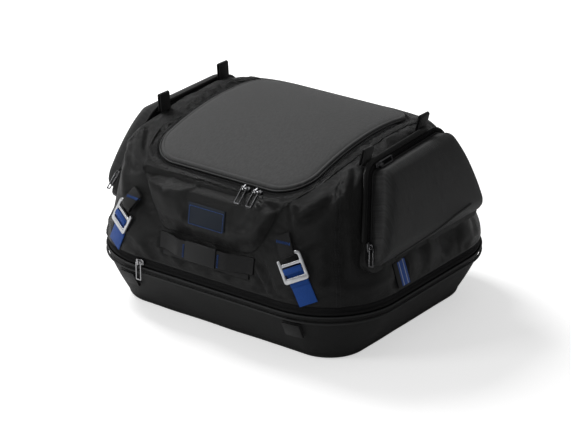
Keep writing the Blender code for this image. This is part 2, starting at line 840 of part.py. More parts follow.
def build_pockets(frame_stuff, cover_stuff, tape_stuff, metal_stuff):
    placed = pocket_frame_matrix()
    outer = pocket_ring(POCKET_FRAME_OUTSIDE, 0)
    inner = pocket_ring(-POCKET_FRAME_INSIDE, 0)
    frame_solid = solid_wall(outer, inner, -0.030, POCKET_FRAME_THICKNESS)
    frame_solid.transform(placed)
    frame_holder = holder_of("pocket_frame_block", frame_solid)
    body_holder = holder_of("body_block", body_solid(GAP))
    frame_holder.data = boolean(frame_holder, body_holder, "DIFFERENCE")
    loop_room = bmesh.new()
    bmesh.ops.create_cube(loop_room, size=2)
    bmesh.ops.scale(loop_room, vec=(LOOP_X + LOOP_ROOM, 1, 1), verts=loop_room.verts)
    frame_mesh = boolean(frame_holder, holder_of("loop_room", loop_room), "DIFFERENCE")
    middle = placed @ Vector((0, POCKET_HEIGHT / 2, 0))
    add_pair("pocket_frame", frame_mesh, frame_stuff, middle)

    foot = POCKET_FRAME_THICKNESS + GAP
    rings = []
    insets = ((0.0, 0.0), (0.0, 0.55), (0.0025, 0.80), (0.009, 0.96), (POCKET_CREST, 1.0), (0.042, 1.0), (0.058, 1.0))
    for inset, share in insets:
        ring = []
        for x, y in outline_ring(POCKET_CORNERS, -inset, 5):
            ring.append((x, y, mix(foot, pocket_depth(y), share)))
        rings.append(ring)
    cover = finished_mesh(loft(rings, cap_last=True), placed, MOULDED_WALL)
    hinge = placed @ Vector((0, 0, foot))
    add_pair("pocket_cover", cover, cover_stuff, hinge)

    low = POCKET_FRAME_THICKNESS + GAP
    high = low + POCKET_TAPE_THICKNESS
    count = ARC_STEPS + 1
    near = pocket_ring(POCKET_TAPE_GAP, 0)
    far = pocket_ring(POCKET_FRAME_OUTSIDE - 0.0006, 0)
    sections = []
    start = 2 * count - 1
    for (a, b, _), (c, d, _) in zip(near[start:] + near[:1], far[start:] + far[:1]):
        sections.append([(a, b, low), (c, d, low), (c, d, high), (a, b, high)])
    tape = finished_mesh(loft(sections, cap_first=True, cap_last=True), placed)
    add_pair("pocket_zip_tape", tape, tape_stuff, middle)

    seat = high + GAP
    front_foot, back_foot, back_top, front_top = [Vector(c[:2]) for c in POCKET_CORNERS]
    run = (front_top - front_foot).normalized()
    outside = Vector((-run.y, run.x)) * POCKET_SLIDER_OUT
    place = front_foot + run * POCKET_SLIDER_RISE + outside
    travel = Vector((run.x, run.y, 0))
    add_slider_pair("pocket_front", placed, place, seat, travel, -travel, metal_stuff)
    run = (back_top - front_top).normalized()
    outside = Vector((-run.y, run.x)) * POCKET_SLIDER_OUT
    place = front_top + run * POCKET_SLIDER_BACK + outside
    travel = Vector((run.x, run.y, 0))
    add_slider_pair("pocket_top", placed, place, seat, travel, travel, metal_stuff)


def add_slider_pair(name, placed, place, seat, travel, hang, stuff):
    """A slider and its puller on the right pocket, and their mirror images."""
    outward = (placed.to_3x3() @ Vector((0, 0, 1))).normalized()
    spot = placed @ Vector((place.x, place.y, seat))
    travel = placed.to_3x3() @ travel
    hang = placed.to_3x3() @ hang
    slider, puller, pin = slider_meshes(spot, travel, hang, outward, 0.0)
    add_pair(f"{name}_slider", slider, stuff, spot)
    add_pair(f"{name}_puller", puller, stuff, pin)


# Zip sliders


def slider_meshes(spot, travel, hang, outward, droop):
    """World meshes of a slider and its hanging puller, and the place of the puller's pin."""
    along = Vector(hang).normalized()
    normal = Vector(outward).normalized()
    flat = frame_of(spot, travel, normal)
    half = SLIDER_LENGTH / 2
    side = SLIDER_WIDTH / 2
    shield = [(-half, -side * 0.7), (half * 0.4, -side), (half, -side * 0.8)]
    shield += [(half, side * 0.8), (half * 0.4, side), (-half, side * 0.7)]
    body = extruded(rounded_polygon(shield, 0.0012, 2), SLIDER_HEIGHT, edge=0.0004)
    body.transform(flat @ Matrix.Translation((0, 0, SLIDER_HEIGHT / 2)))
    hole = BRIDGE_RISE + PULLER_THICKNESS + 2 * PULLER_CLEARANCE
    reach = BRIDGE_LENGTH / 2
    top = SLIDER_HEIGHT + hole + BRIDGE_WALL
    sunk = SLIDER_HEIGHT - 0.0004
    arch = [(-reach, sunk), (-reach + BRIDGE_WALL, sunk), (-reach + BRIDGE_WALL, SLIDER_HEIGHT + hole)]
    arch += [(reach - BRIDGE_WALL, SLIDER_HEIGHT + hole), (reach - BRIDGE_WALL, sunk), (reach, sunk)]
    arch += [(reach, top - 0.0006), (reach - 0.0006, top), (-reach + 0.0006, top), (-reach, top - 0.0006)]
    across = normal.cross(along)
    upright = Matrix((along, normal, along.cross(normal))).transposed().to_4x4()
    upright.translation = Vector(spot)
    bridge = extruded(arch, BRIDGE_WIDTH)
    bridge.transform(upright)
    body_holder = bpy.data.objects.new("slider_body", body)
    bridge_holder = bpy.data.objects.new("slider_bridge", bridge)
    for holder in (body_holder, bridge_holder):
        holder.hide_render = True
        holder.display_type = "WIRE"
        bpy.data.collections[CUTTERS].objects.link(holder)
    slider = boolean(body_holder, bridge_holder, "UNION")
    pin = Vector(spot) + normal * (SLIDER_HEIGHT + BRIDGE_RISE + PULLER_THICKNESS / 2 + PULLER_CLEARANCE)
    near = PULLER_FRAME / 2
    far = near - PULLER_LENGTH
    half = PULLER_WIDTH / 2
    outline = [(-half, far), (half, far), (half, near), (-half, near)]
    inner = half - PULLER_FRAME
    window = [(-inner, far + PULLER_FRAME), (inner, far + PULLER_FRAME), (inner, -near), (-inner, -near)]
    puller = extruded(
        rounded_polygon(outline, 0.0014, 3), PULLER_THICKNESS, [rounded_polygon(window, 0.0007, 2)], 0.0003
    )
    hanging = Matrix((across, along * -1, normal)).transposed().to_4x4()
    hanging.translation = pin
    puller.transform(hanging @ Matrix.Rotation(droop, 4, "X"))
    return slider, puller, pin


def add_slider(name, spot, travel, hang, outward, droop, stuff):
    slider, puller, pin = slider_meshes(spot, travel, hang, outward, droop)
    slider.transform(Matrix.Translation(-Vector(spot)))
    puller.transform(Matrix.Translation(-pin))
    add_part(f"{name}_slider", slider, stuff, Matrix.Translation(Vector(spot)))
    add_part(f"{name}_puller", puller, stuff, Matrix.Translation(pin))


def build_front_sliders(lid_stuff, base_stuff):
    y = LID_FRONT - LID_ZIP_WIDTH + 0.0008 + SLIDER_WIDTH / 2
    z = crown(0, y) - LEDGE_DROP + LEDGE_GAP + LID_TAPE_THICKNESS
    slope = -2 * CROWN_ALONG * (y - CROWN_MIDDLE_Y)
    outward = Vector((0, -slope, 1)).normalized()
    hang = Vector((0, -1, -slope)).normalized()
    for tag, x in zip(("left", "right"), LID_SLIDER_X):
        spot = Vector((x, y, z)) + outward * GAP
        add_slider(f"lid_{tag}", spot, (1, 0, 0), hang, outward, LID_PULLER_DROOP, lid_stuff)
    band_y = -BAG_HALF_DEPTH + ZIP_RECESS - GAP
    spot = (BASE_SLIDER_X, band_y, RIM_Z + ZIP_BAND_HEIGHT / 2)
    add_slider("base", spot, (1, 0, 0), (0, 0, -1), (0, -1, 0), 0.0, base_stuff)


# Handle, loops and tabs


def build_handle(strap_stuff, grip_stuff, strip_stuff):
    placed = front_frame(HANDLE_Z)
    low = GAP + WEBBING / 2
    end = HANDLE_HALF_LENGTH
    foot = end - HANDLE_END
    top = foot - HANDLE_RAMP
    path = [(-end, low), (-foot, low), (-top - 0.006, HANDLE_REACH - 0.0015), (-top, HANDLE_REACH)]
    path += [(top, HANDLE_REACH), (top + 0.006, HANDLE_REACH - 0.0015), (foot, low), (end, low)]
    along = Matrix((placed.col[0][:3], placed.col[2][:3], -placed.col[1].xyz)).transposed().to_4x4()
    along.translation = placed.translation
    add_part("handle_strap", extruded(ribbon(path, WEBBING), HANDLE_HEIGHT), strap_stuff, along)
    hole_height = HANDLE_HEIGHT + 2 * GAP
    hole_depth = WEBBING + 2 * GAP
    outline = rounded_polygon(
        box_corners(hole_height + 2 * GRIP_WALL, hole_depth + 2 * GRIP_WALL), GRIP_WALL, 4
    )
    hole = rounded_polygon(box_corners(hole_height, hole_depth), 0.0002, 1)
    across = Matrix((placed.col[1][:3], placed.col[2][:3], placed.col[0][:3])).transposed().to_4x4()
    across.translation = placed @ Vector((0, 0, HANDLE_REACH))
    add_part("handle_grip", extruded(outline, 2 * GRIP_HALF_LENGTH, [hole]), grip_stuff, across)
    strip = rounded_polygon(box_corners(2 * STRIP_HALF_LENGTH, HANDLE_STRIP_HEIGHT), 0.001, 1)
    seat = front_frame(HANDLE_STRIP_Z) @ Matrix.Translation((0, 0, GAP + WEBBING / 2))
    add_part("handle_base_strip", extruded(strip, WEBBING), strip_stuff, seat)


def hairpin(low_gap, height, steps=6):
    """A standing loop of strap: two legs and a round top, as a path of (up, across)."""
    half = low_gap / 2 + WEBBING / 2
    path = [(0.0, half)]
    for step in range(steps + 1):
        angle = math.pi * step / steps
        path.append((height - half + half * math.sin(angle), half * math.cos(angle)))
    path.append((0.0, -half))
    return path


def build_shoulder_loops(stuff):
    for end, y in (("front", LOOP_FRONT_Y), ("back", LOOP_BACK_Y)):
        for tag, flip, lean in (("left", -1, LOOP_LEAN_LEFT), ("right", 1, LOOP_LEAN_RIGHT)):
            x = flip * LOOP_X
            up = Vector((flip * math.sin(lean), 0, math.cos(lean)))
            outward = Vector((math.cos(lean), 0, -flip * math.sin(lean)))
            placed = Matrix((up, outward, up.cross(outward))).transposed().to_4x4()
            place = Vector((x, y, crown(x, y)))
            placed.translation = place + up * loop_foot(place, up, outward)
            mesh = extruded(ribbon(hairpin(LOOP_OPENING, LOOP_HEIGHT), WEBBING), LOOP_WIDTH)
            add_part(f"shoulder_loop_{end}_{tag}", mesh, stuff, placed)


def loop_foot(place, up, outward):
    """How far up its own direction a loop's foot clears the top of the body."""
    far = 0.05
    reach = -far
    for across in (-1, -0.5, 0, 0.5, 1):
        for along in (-1, 0, 1):
            start = place + outward * across * (LOOP_OPENING / 2 + WEBBING) + up * far
            start.y += along * LOOP_WIDTH / 2
            hit = SURFACES["body"].ray_cast(start, -up, 2 * far)
            reach = max(reach, far - hit[3] if hit[0] else -far)
    return reach + STRAP_GAP


def build_base_tabs(stuff):
    """Webbing loops folded flat against the tub under its piping."""
    top = PIPING_Z - PIPING_RADIUS - 0.0012
    for end, side in (("front", -1), ("back", 1)):
        for tag, flip in (("left", -1), ("right", 1)):
            placed = wall_frame(flip * TAB_X, top - TAB_HEIGHT / 2, side, (0, 0, 1))
            half_height = TAB_HEIGHT / 2
            ups = (-half_height, 0, half_height)
            low = seat_height("tub", placed, ups, STRAP_WIDTH / 2) - WEBBING / 2
            loop = hairpin(TAB_OPENING / 2, TAB_HEIGHT)
            middle = low + TAB_OPENING / 4 + WEBBING
            path = [(half_height - up, middle + out) for up, out in loop]
            add_strap(f"base_tab_{end}_{tag}", path, STRAP_WIDTH, placed, stuff)


def build_side_tabs(stuff):
    lean = math.atan(SIDE_LEAN)
    height = (SIDE_TAB_TOP_Z - SIDE_TAB_FOOT_Z) / math.cos(lean)
    outline = rounded_polygon(box_corners(STRAP_WIDTH, height), 0.0008, 1)
    z = (SIDE_TAB_TOP_Z + SIDE_TAB_FOOT_Z) / 2
    placed = pocket_frame_matrix()
    placed.translation = Vector((side_x(z), SIDE_TAB_Y, z))
    mesh = extruded(outline, WEBBING)
    mesh.transform(placed @ Matrix.Translation((0, 0, GAP + WEBBING / 2)))
    add_pair("side_tab", mesh, stuff, placed.translation)


# Compression straps and hooks


def hook_outline(flip):
    """The open-ended hook: a frame with two windows below a finger that the loop slips over."""
    half = HOOK_HALF_WIDTH
    low = -HOOK_FRAME_HEIGHT / 2
    high = HOOK_FRAME_HEIGHT / 2
    finger = high + HOOK_THROAT
    top = finger + HOOK_BAR
    corners = [
        (-half, low, HOOK_CORNER),
        (half, low, HOOK_CORNER),
        (half, top, HOOK_CORNER * 2),
        (half - HOOK_FINGER_LENGTH, top, HOOK_BAR * 0.45),
        (half - HOOK_FINGER_LENGTH, finger, HOOK_BAR * 0.45),
        (half - HOOK_BAR, finger, HOOK_CORNER),
        (half - HOOK_BAR, high, 0.002),
        (-half + HOOK_BAR, high, 0.0015),
        (-half + HOOK_BAR, high + HOOK_TIP, HOOK_BAR * 0.45),
        (-half, high + HOOK_TIP, HOOK_BAR * 0.45),
    ]
    bar = low + HOOK_BAR_SHARE * HOOK_FRAME_HEIGHT
    inner = half - HOOK_BAR
    lower = [(-inner, low + HOOK_FOOT_BAR), (inner, low + HOOK_FOOT_BAR)]
    lower += [(inner, bar - HOOK_MIDDLE_BAR / 2), (-inner, bar - HOOK_MIDDLE_BAR / 2)]
    upper = [(-inner, bar + HOOK_MIDDLE_BAR / 2), (inner, bar + HOOK_MIDDLE_BAR / 2)]
    upper += [(inner, high - HOOK_BAR), (-inner, high - HOOK_BAR)]
    shapes = []
    for path, radius in ((corners, 0.001), (lower, 0.0015), (upper, 0.0015)):
        shapes.append([(x * flip, y) for x, y in rounded_polygon(path, radius, 3)])
    return shapes[0], shapes[1:], bar, finger


def build_strap_sets(blue_stuff, black_stuff, metal_stuff):
    for end, side in (("front", -1), ("back", 1)):
        for tag, flip in (("left", -1), ("right", 1)):
            build_strap_set(f"{end}_{tag}", side, flip, blue_stuff, black_stuff, metal_stuff)


def build_strap_set(name, side, flip, blue_stuff, black_stuff, metal_stuff):
    share = HOOK_PLACE_SHARE
    x = flip * mix(STRAP_FOOT_X, STRAP_TOP_X, share)
    z = mix(STRAP_FOOT_Z, STRAP_TOP_Z, share)
    up = Vector((flip * (STRAP_TOP_X - STRAP_FOOT_X), 0, STRAP_TOP_Z - STRAP_FOOT_Z))
    length = up.length
    placed = wall_frame(x, z, side, up)
    outline, holes, bar, finger = hook_outline(-flip * side)
    metal = extruded(outline, HOOK_THICKNESS, holes, 0.0007)
    centre = placed @ Matrix.Translation((0, 0, HOOK_STAND_OFF))
    add_part(f"hook_{name}", metal, metal_stuff, centre)

    round_bar = HOOK_MIDDLE_BAR / 2 + LOOP_CLEARANCE + WEBBING / 2
    plate = HOOK_THICKNESS / 2 + LOOP_CLEARANCE + WEBBING / 2
    back = HOOK_STAND_OFF - plate
    front = HOOK_STAND_OFF + plate
    under = back - WEBBING - LOOP_CLEARANCE
    foot = -share * length
    half = STRAP_WIDTH / 2
    path = [(foot, seat_height("body", placed, (foot, foot + 0.004), half))]
    path += [(bar - 0.0100, under), (bar - 0.0020, under), (bar + 0.0018, under + 0.0010)]
    path += [(bar + round_bar, back + 0.0014), (bar + round_bar, front - 0.0018)]
    path += [(bar + round_bar - 0.0013, front), (bar - round_bar + 0.0013, front)]
    path += [(bar - round_bar, front - 0.0018), (bar - round_bar, back + 0.0020), (bar - round_bar - 0.0016, back)]
    fold = max(foot + STRAP_FOLD, foot + 0.004)
    share_down = (fold - (bar - 0.0100)) / (foot - (bar - 0.0100))
    below = mix(under, path[0][1], share_down)
    path += [(bar - 0.0100, back), (fold, below + WEBBING + LOOP_CLEARANCE)]
    width = min(STRAP_WIDTH, 2 * (HOOK_HALF_WIDTH - HOOK_BAR) - 2 * LOOP_CLEARANCE)
    add_strap(f"blue_strap_{name}", path, width, placed, blue_stuff)

    top = (1 - share) * length
    rest = seat_height("body", placed, (top, top - 0.006), LOOP_WIDTH / 2)
    under_finger = finger - LOOP_CLEARANCE - WEBBING / 2
    over = finger + HOOK_BAR
    path = [(top, rest + WEBBING + LOOP_CLEARANCE), (over + 0.001, front)]
    path += [(finger, front), (under_finger + 0.0004, front - 0.0014), (under_finger, HOOK_STAND_OFF)]
    path += [(under_finger + 0.0004, back + 0.0014), (finger, back), (over + 0.001, back), (top, rest)]
    middle = HOOK_HALF_WIDTH - HOOK_BAR - HOOK_CORNER - LOOP_WIDTH / 2
    aside = placed @ Matrix.Translation((-flip * side * middle, 0, 0))
    add_strap(f"black_loop_{name}", path, LOOP_WIDTH, aside, black_stuff)


def build_board(stuff):
    half_width, half_depth, corner = tub_half_sizes(FOOT_EDGE)
    inset = FOOT_EDGE + BOARD_MARGIN
    outline = plan_ring(half_width - inset, -half_depth + inset, half_depth - inset, corner - inset)
    seat = Matrix.Translation((0, 0, TUB_WALL + GAP + BOARD_THICKNESS / 2))
    add_part("base_board", extruded(outline, BOARD_THICKNESS), stuff, seat)


def build():
    clear_scene()
    collection(PARTS)
    collection(CUTTERS)
    tub = material("tub_fabric", (0.040, 0.041, 0.043), 0.62)
    piping = material("piping", (0.060, 0.061, 0.064), 0.55)
    tape = material("zip_tape", (0.010, 0.010, 0.011), 0.80)
    body = material("body_fabric", (0.026, 0.026, 0.028), 0.70)
    lid = material("lid_fabric", (0.075, 0.077, 0.080), 0.75)
    bib = material("bib_fabric", (0.032, 0.032, 0.034), 0.68)
    patch = material("patch", (0.080, 0.160, 0.230), 0.60)
    cover = material("moulded_cover", (0.045, 0.046, 0.048), 0.60)
    frame = material("pocket_frame", (0.018, 0.018, 0.019), 0.75)
    blue = material("blue_webbing", (0.030, 0.115, 0.420), 0.65)
    black = material("black_webbing", (0.030, 0.031, 0.034), 0.70)
    grip = material("grip_rubber", (0.050, 0.052, 0.056), 0.50)
    board = material("board", (0.020, 0.020, 0.020), 0.85)
    satin = material("satin_aluminium", (0.620, 0.630, 0.650), 0.32, 1.0)
    gunmetal = material("gunmetal", (0.230, 0.230, 0.240), 0.30, 1.0)
    bright = material("bright_metal", (0.500, 0.510, 0.520), 0.28, 1.0)
    build_tub(tub)
    build_board(board)
    build_tub_piping(piping)
    build_base_zip(tape)
    build_body(body)
    build_lid(lid, piping)
    build_lid_tape(tape)
    build_bib(bib, patch)
    build_pockets(frame, cover, tape, gunmetal)
    build_front_sliders(gunmetal, bright)
    build_handle(black, grip, piping)
    build_shoulder_loops(black)
    build_base_tabs(black)
    build_side_tabs(blue)
    build_strap_sets(blue, black, satin)


build()
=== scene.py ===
# Looks of the rear cargo bag: fabric skins, padded collar, lid, moulded pocket covers,
# zips, stitching, webbing and metal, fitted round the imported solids.

import math

import bmesh
import bpy
import numpy as np
from mathutils import Matrix, Vector, noise
from mathutils.bvhtree import BVHTree


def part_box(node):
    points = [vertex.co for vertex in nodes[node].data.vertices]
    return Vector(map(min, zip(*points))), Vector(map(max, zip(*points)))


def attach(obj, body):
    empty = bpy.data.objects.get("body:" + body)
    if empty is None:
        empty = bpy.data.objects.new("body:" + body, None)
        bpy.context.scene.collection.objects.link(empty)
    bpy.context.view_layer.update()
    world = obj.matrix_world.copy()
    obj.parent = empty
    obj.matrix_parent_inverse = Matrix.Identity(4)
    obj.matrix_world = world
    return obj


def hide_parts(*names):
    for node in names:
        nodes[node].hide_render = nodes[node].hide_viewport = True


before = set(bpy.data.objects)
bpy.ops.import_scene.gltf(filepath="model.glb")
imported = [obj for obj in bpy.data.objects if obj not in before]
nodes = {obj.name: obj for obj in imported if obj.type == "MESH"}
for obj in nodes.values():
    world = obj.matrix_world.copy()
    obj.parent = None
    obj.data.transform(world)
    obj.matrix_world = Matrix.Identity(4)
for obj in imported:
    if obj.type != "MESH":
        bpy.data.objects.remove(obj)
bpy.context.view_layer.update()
scene = bpy.context.scene

# Sizes shared with the solids, in metres
BODY_Z = 0.0981
BAG_HALF_WIDTH = 0.250
BAG_HALF_DEPTH = 0.216
BAG_CORNER = 0.120
FOOT_INSET = 0.039
FOOT_CORNER = 0.062
FOOT_EDGE = 0.010
PIPING_Z = 0.072
RIM_Z = 0.083
RIM_LEAN = 0.002
SIDE_LEAN = 0.34
FRONT_LEAN = 0.15
BACK_LEAN = 0.42
SHOULDER_CORNER = 0.075
SHOULDER_ROUND = 0.014
CROWN_TOP = 0.2865
CROWN_MIDDLE_Y = 0.030
CROWN_FLAT = 0.090
LID_HALF_WIDTH = 0.138
LID_FRONT = -0.1755
LID_BACK = 0.124
LID_CORNER = 0.052
LID_ZIP_WIDTH = 0.016
LEDGE_DROP = 0.0040
LEDGE_GAP = 0.0006
LEDGE_WIDTH = 0.010
POCKET_FOOT_Z = 0.1475
POCKET_HEIGHT = 0.131
POCKET_CORNERS = ((-0.141, 0, 0.008), (0.134, 0, 0.008), (0.094, 0.131, 0.016), (-0.081, 0.123, 0.016))
POCKET_SEAT = 0.0028
ZIP_HALF_WIDTH = 0.248
ZIP_HALF_DEPTH = 0.214
ZIP_CORNER = 0.118
COIL_INSET = 0.0016
COIL_Z = 0.0932
LINING_INSET = 0.004
UNDERSIDE = (0.201, -0.167, 0.167, 0.052)
COVER_INSETS = (0.0003, 0.0010, 0.0018, 0.0027, 0.004, 0.006, 0.009, 0.013, 0.018, 0.024, 0.030,
                0.036, 0.042, 0.050, 0.057)
COVER_MIDDLE = 0.0655
PIPING_FOOT = 0.011
ARC_STEPS = 20
SIDE_STEPS = 36
HANDLE_Z = 0.1355
SHARP_DEGREES = 35
CLEAR_START = 0.04
CLEAR_RAY = 0.05
CLEAR_REACH = 0.0065
CLEAR_ASIDE = 0.0025
CLEAR_MARGIN = 0.004
RIB_PITCH = 0.0014
SIDE_TAB_Y = -0.073
STRAP_HALF_WIDTH = 0.01425

# Camera, lights and floor


def aim(thing, place, target):
    thing.location = place
    thing.rotation_euler = (Vector(target) - Vector(place)).to_track_quat("-Z", "Y").to_euler()


def add_camera():
    lens = bpy.data.cameras.new("camera")
    lens.lens = 148.957
    lens.sensor_width = 36
    lens.clip_start = 0.05
    camera = bpy.data.objects.new("camera", lens)
    scene.collection.objects.link(camera)
    turn = math.radians(36.777)
    rise = math.radians(22.983)
    back = Vector((math.sin(turn) * math.cos(rise), -math.cos(turn) * math.cos(rise), math.sin(rise)))
    camera.location = Vector((-0.0162, -0.0003, 0.1191)) + back * 3.561
    camera.rotation_euler = (-back).to_track_quat("-Z", "Y").to_euler()
    scene.camera = camera


def add_softbox(name, place, target, size, power):
    lamp = bpy.data.lights.new(name, "AREA")
    lamp.shape = "RECTANGLE"
    lamp.size, lamp.size_y = size
    lamp.energy = power
    light = bpy.data.objects.new(name, lamp)
    scene.collection.objects.link(light)
    aim(light, place, target)


class Wire:
    """A socket's value. Arithmetic on it adds Math nodes."""

    def __init__(self, paint, socket):
        self.paint = paint
        self.socket = socket

    def math(self, operation, *others):
        values = {index: value for index, value in enumerate((self, *others))}
        return self.paint.node("ShaderNodeMath", {"operation": operation}, values)

    def swapped(self, operation, other):
        return self.paint.node("ShaderNodeMath", {"operation": operation}, {0: other, 1: self})

    def __add__(self, other):
        return self.math("ADD", other)

    __radd__ = __add__

    def __mul__(self, other):
        return self.math("MULTIPLY", other)

    __rmul__ = __mul__

    def __sub__(self, other):
        return self.math("SUBTRACT", other)

    def __rsub__(self, other):
        return self.swapped("SUBTRACT", other)

    def wave(self, length):
        """A sine from 0 to 1 that repeats every length."""
        return (self * (2 * math.pi / length)).math("SINE") * 0.5 + 0.5

    def between(self, low, high, first=0.0, last=1.0):
        """A smooth step from first to last as the value goes from low to high."""
        settings = {"interpolation_type": "SMOOTHSTEP"}
        values = {"Value": self, "From Min": low, "From Max": high, "To Min": first, "To Max": last}
        return self.paint.node("ShaderNodeMapRange", settings, values)


class Paint:
    """One finish: a material whose colour, roughness and height vary over the surface."""

    def __init__(self, name, **steady):
        self.made = bpy.data.materials.new(name)
        self.made.use_nodes = True
        self.tree = self.made.node_tree
        self.shader = self.tree.nodes["Principled BSDF"]
        for socket, value in steady.items():
            self.shader.inputs[socket.replace("_", " ").title()].default_value = value

    def node(self, kind, settings=None, values=None, output=0):
        made = self.tree.nodes.new(kind)
        for name, value in (settings or {}).items():
            setattr(made, name, value)
        for name, value in (values or {}).items():
            self.feed(made.inputs[name], value)
        return Wire(self, made.outputs[output])

    def feed(self, socket, value):
        if isinstance(value, Wire):
            self.tree.links.new(value.socket, socket)
        else:
            socket.default_value = value

    def place(self):
        return self.node("ShaderNodeTexCoord", output="Object")

    def weave_map(self):
        return self.node("ShaderNodeUVMap", {"uv_map": "weave"})

    def parts(self, vector):
        made = self.tree.nodes.new("ShaderNodeSeparateXYZ")
        self.feed(made.inputs[0], vector)
        return [Wire(self, made.outputs[index]) for index in range(3)]

    def stretched(self, vector, scale):
        values = {"Vector": vector, "Scale": scale}
        return self.node("ShaderNodeMapping", {"vector_type": "POINT"}, values)

    def noise(self, vector, scale, detail=2.0, roughness=0.5):
        values = {"Vector": vector, "Scale": scale, "Detail": detail, "Roughness": roughness}
        return self.node("ShaderNodeTexNoise", None, values)

    def blend(self, share, first, last):
        made = self.tree.nodes.new("ShaderNodeMix")
        made.data_type = "RGBA"
        colours = [socket for socket in made.inputs if socket.type == "RGBA"]
        self.feed(made.inputs[0], share)
        for socket, value in zip(colours, (first, last)):
            self.feed(socket, value if isinstance(value, Wire) else (*value, 1))
        outputs = [socket for socket in made.outputs if socket.type == "RGBA"]
        return Wire(self, outputs[0])

    def colour(self, value):
        self.feed(self.shader.inputs["Base Color"], value)

    def roughness(self, value):
        self.feed(self.shader.inputs["Roughness"], value)

    def relief(self, height, distance):
        values = {"Height": height, "Distance": distance, "Strength": 1.0}
        self.feed(self.shader.inputs["Normal"], self.node("ShaderNodeBump", None, values))


def shade(colour, factor):
    return tuple(channel * factor for channel in colour)


def woven(name, colour, roughness, pitch=0.0011, streak=0.35, sheen=0.12, relief=0.00022):
    """Coated woven fabric: a plain weave, uneven yarns that run up the piece, and soft mottling."""
    paint = Paint(name, sheen_weight=sheen, sheen_roughness=0.45)
    paint.shader.inputs["Specular IOR Level"].default_value = 0.24
    uv = paint.weave_map()
    across, up, _ = paint.parts(uv)
    cell = across.wave(pitch) * up.wave(pitch) + (1 - across.wave(pitch)) * (1 - up.wave(pitch))
    yarn = paint.noise(paint.stretched(uv, (1 / 0.0016, 1 / 0.022, 1)), 1.0, 2.0, 0.6)
    cloud = paint.noise(paint.place(), 9.0, 3.0, 0.55)
    tone = (yarn - 0.5) * streak * 2 + (cloud - 0.5) * 0.36 + (cell - 0.5) * 0.22 + 0.5
    paint.colour(paint.blend(tone.between(0.1, 0.9), shade(colour, 0.55), shade(colour, 1.5)))
    paint.roughness((cloud - 0.5) * 0.18 + (yarn - 0.5) * 0.1 + roughness)
    paint.relief(cell * 0.7 + yarn * 0.5, relief)
    return paint.made


def pebbled(name, colour, roughness):
    """The lid's stiff cover: a fine slanted grain with soft mottling."""
    paint = Paint(name, sheen_weight=0.18, sheen_roughness=0.5)
    paint.shader.inputs["Specular IOR Level"].default_value = 0.3
    uv = paint.weave_map()
    across, up, _ = paint.parts(uv)
    slant = (across * 0.55 + up).wave(0.0016) * (across - up * 0.45).wave(0.0016)
    grain = paint.noise(paint.stretched(uv, (1 / 0.0035, 1 / 0.007, 1)), 1.0, 3.0, 0.6)
    cloud = paint.noise(paint.place(), 12.0, 3.0, 0.5)
    tone = (grain - 0.5) * 0.9 + (cloud - 0.5) * 0.3 + (slant - 0.25) * 0.25 + 0.5
    paint.colour(paint.blend(tone.between(0.22, 0.78), shade(colour, 0.5), shade(colour, 1.6)))
    paint.roughness((cloud - 0.5) * 0.15 + (grain - 0.5) * 0.12 + roughness)
    paint.relief(slant * 0.6 + grain * 0.9, 0.00045)
    return paint.made


def webbing(name, colour, roughness):
    """Ribbed webbing: cross ribs broken by lengthwise yarns."""
    paint = Paint(name, sheen_weight=0.15, sheen_roughness=0.4)
    paint.shader.inputs["Specular IOR Level"].default_value = 0.22
    uv = paint.weave_map()
    across, along, _ = paint.parts(uv)
    yarns = across.wave(0.0019)
    ribs = (along + across.wave(0.0038) * 0.0004).wave(RIB_PITCH)
    fuzz = paint.noise(paint.stretched(uv, (1 / 0.001, 1 / 0.004, 1)), 1.0, 2.0, 0.6)
    tone = ribs * 0.4 + yarns * 0.2 + (fuzz - 0.5) * 0.6 + 0.2
    paint.colour(paint.blend(tone.between(0.0, 1.0), shade(colour, 0.6), shade(colour, 1.35)))
    paint.roughness((fuzz - 0.5) * 0.2 + roughness)
    paint.relief(ribs * 0.8 + yarns * 0.5, 0.00025)
    return paint.made


def striped(name, black, blue, pale):
    """The side tab's webbing: a black edge band towards the front, then blue with two pale lines."""
    paint = Paint(name, sheen_weight=0.1, sheen_roughness=0.4)
    paint.shader.inputs["Specular IOR Level"].default_value = 0.3
    _, y, z = paint.parts(paint.place())
    across = (y - (SIDE_TAB_Y - STRAP_HALF_WIDTH)) * (1 / (2 * STRAP_HALF_WIDTH))
    ribs = z.wave(RIB_PITCH)
    lines = across.between(0.44, 0.47) * across.between(0.53, 0.50)
    lines = lines + across.between(0.78, 0.81) * across.between(0.87, 0.84)
    ground = paint.blend(across.between(0.33, 0.35), black, blue)
    marked = paint.blend(lines * 0.8, blue, pale)
    paint.colour(paint.blend(lines, ground, marked))
    paint.roughness(ribs * 0.15 + 0.55)
    paint.relief(ribs, 0.0002)
    return paint.made


def plated(name, colour, roughness):
    """Metal with fine brushing and faint handling marks."""
    paint = Paint(name, metallic=1.0)
    place = paint.place()
    brush = paint.noise(paint.stretched(place, (900, 90, 220)), 1.0, 2.0, 0.6)
    marks = paint.noise(place, 160.0, 4.0, 0.65)
    paint.colour(paint.blend(marks.between(0.35, 0.75), shade(colour, 0.9), shade(colour, 1.1)))
    paint.roughness((brush - 0.5) * 0.16 + (marks - 0.5) * 0.14 + roughness)
    paint.relief(brush, 0.00004)
    return paint.made


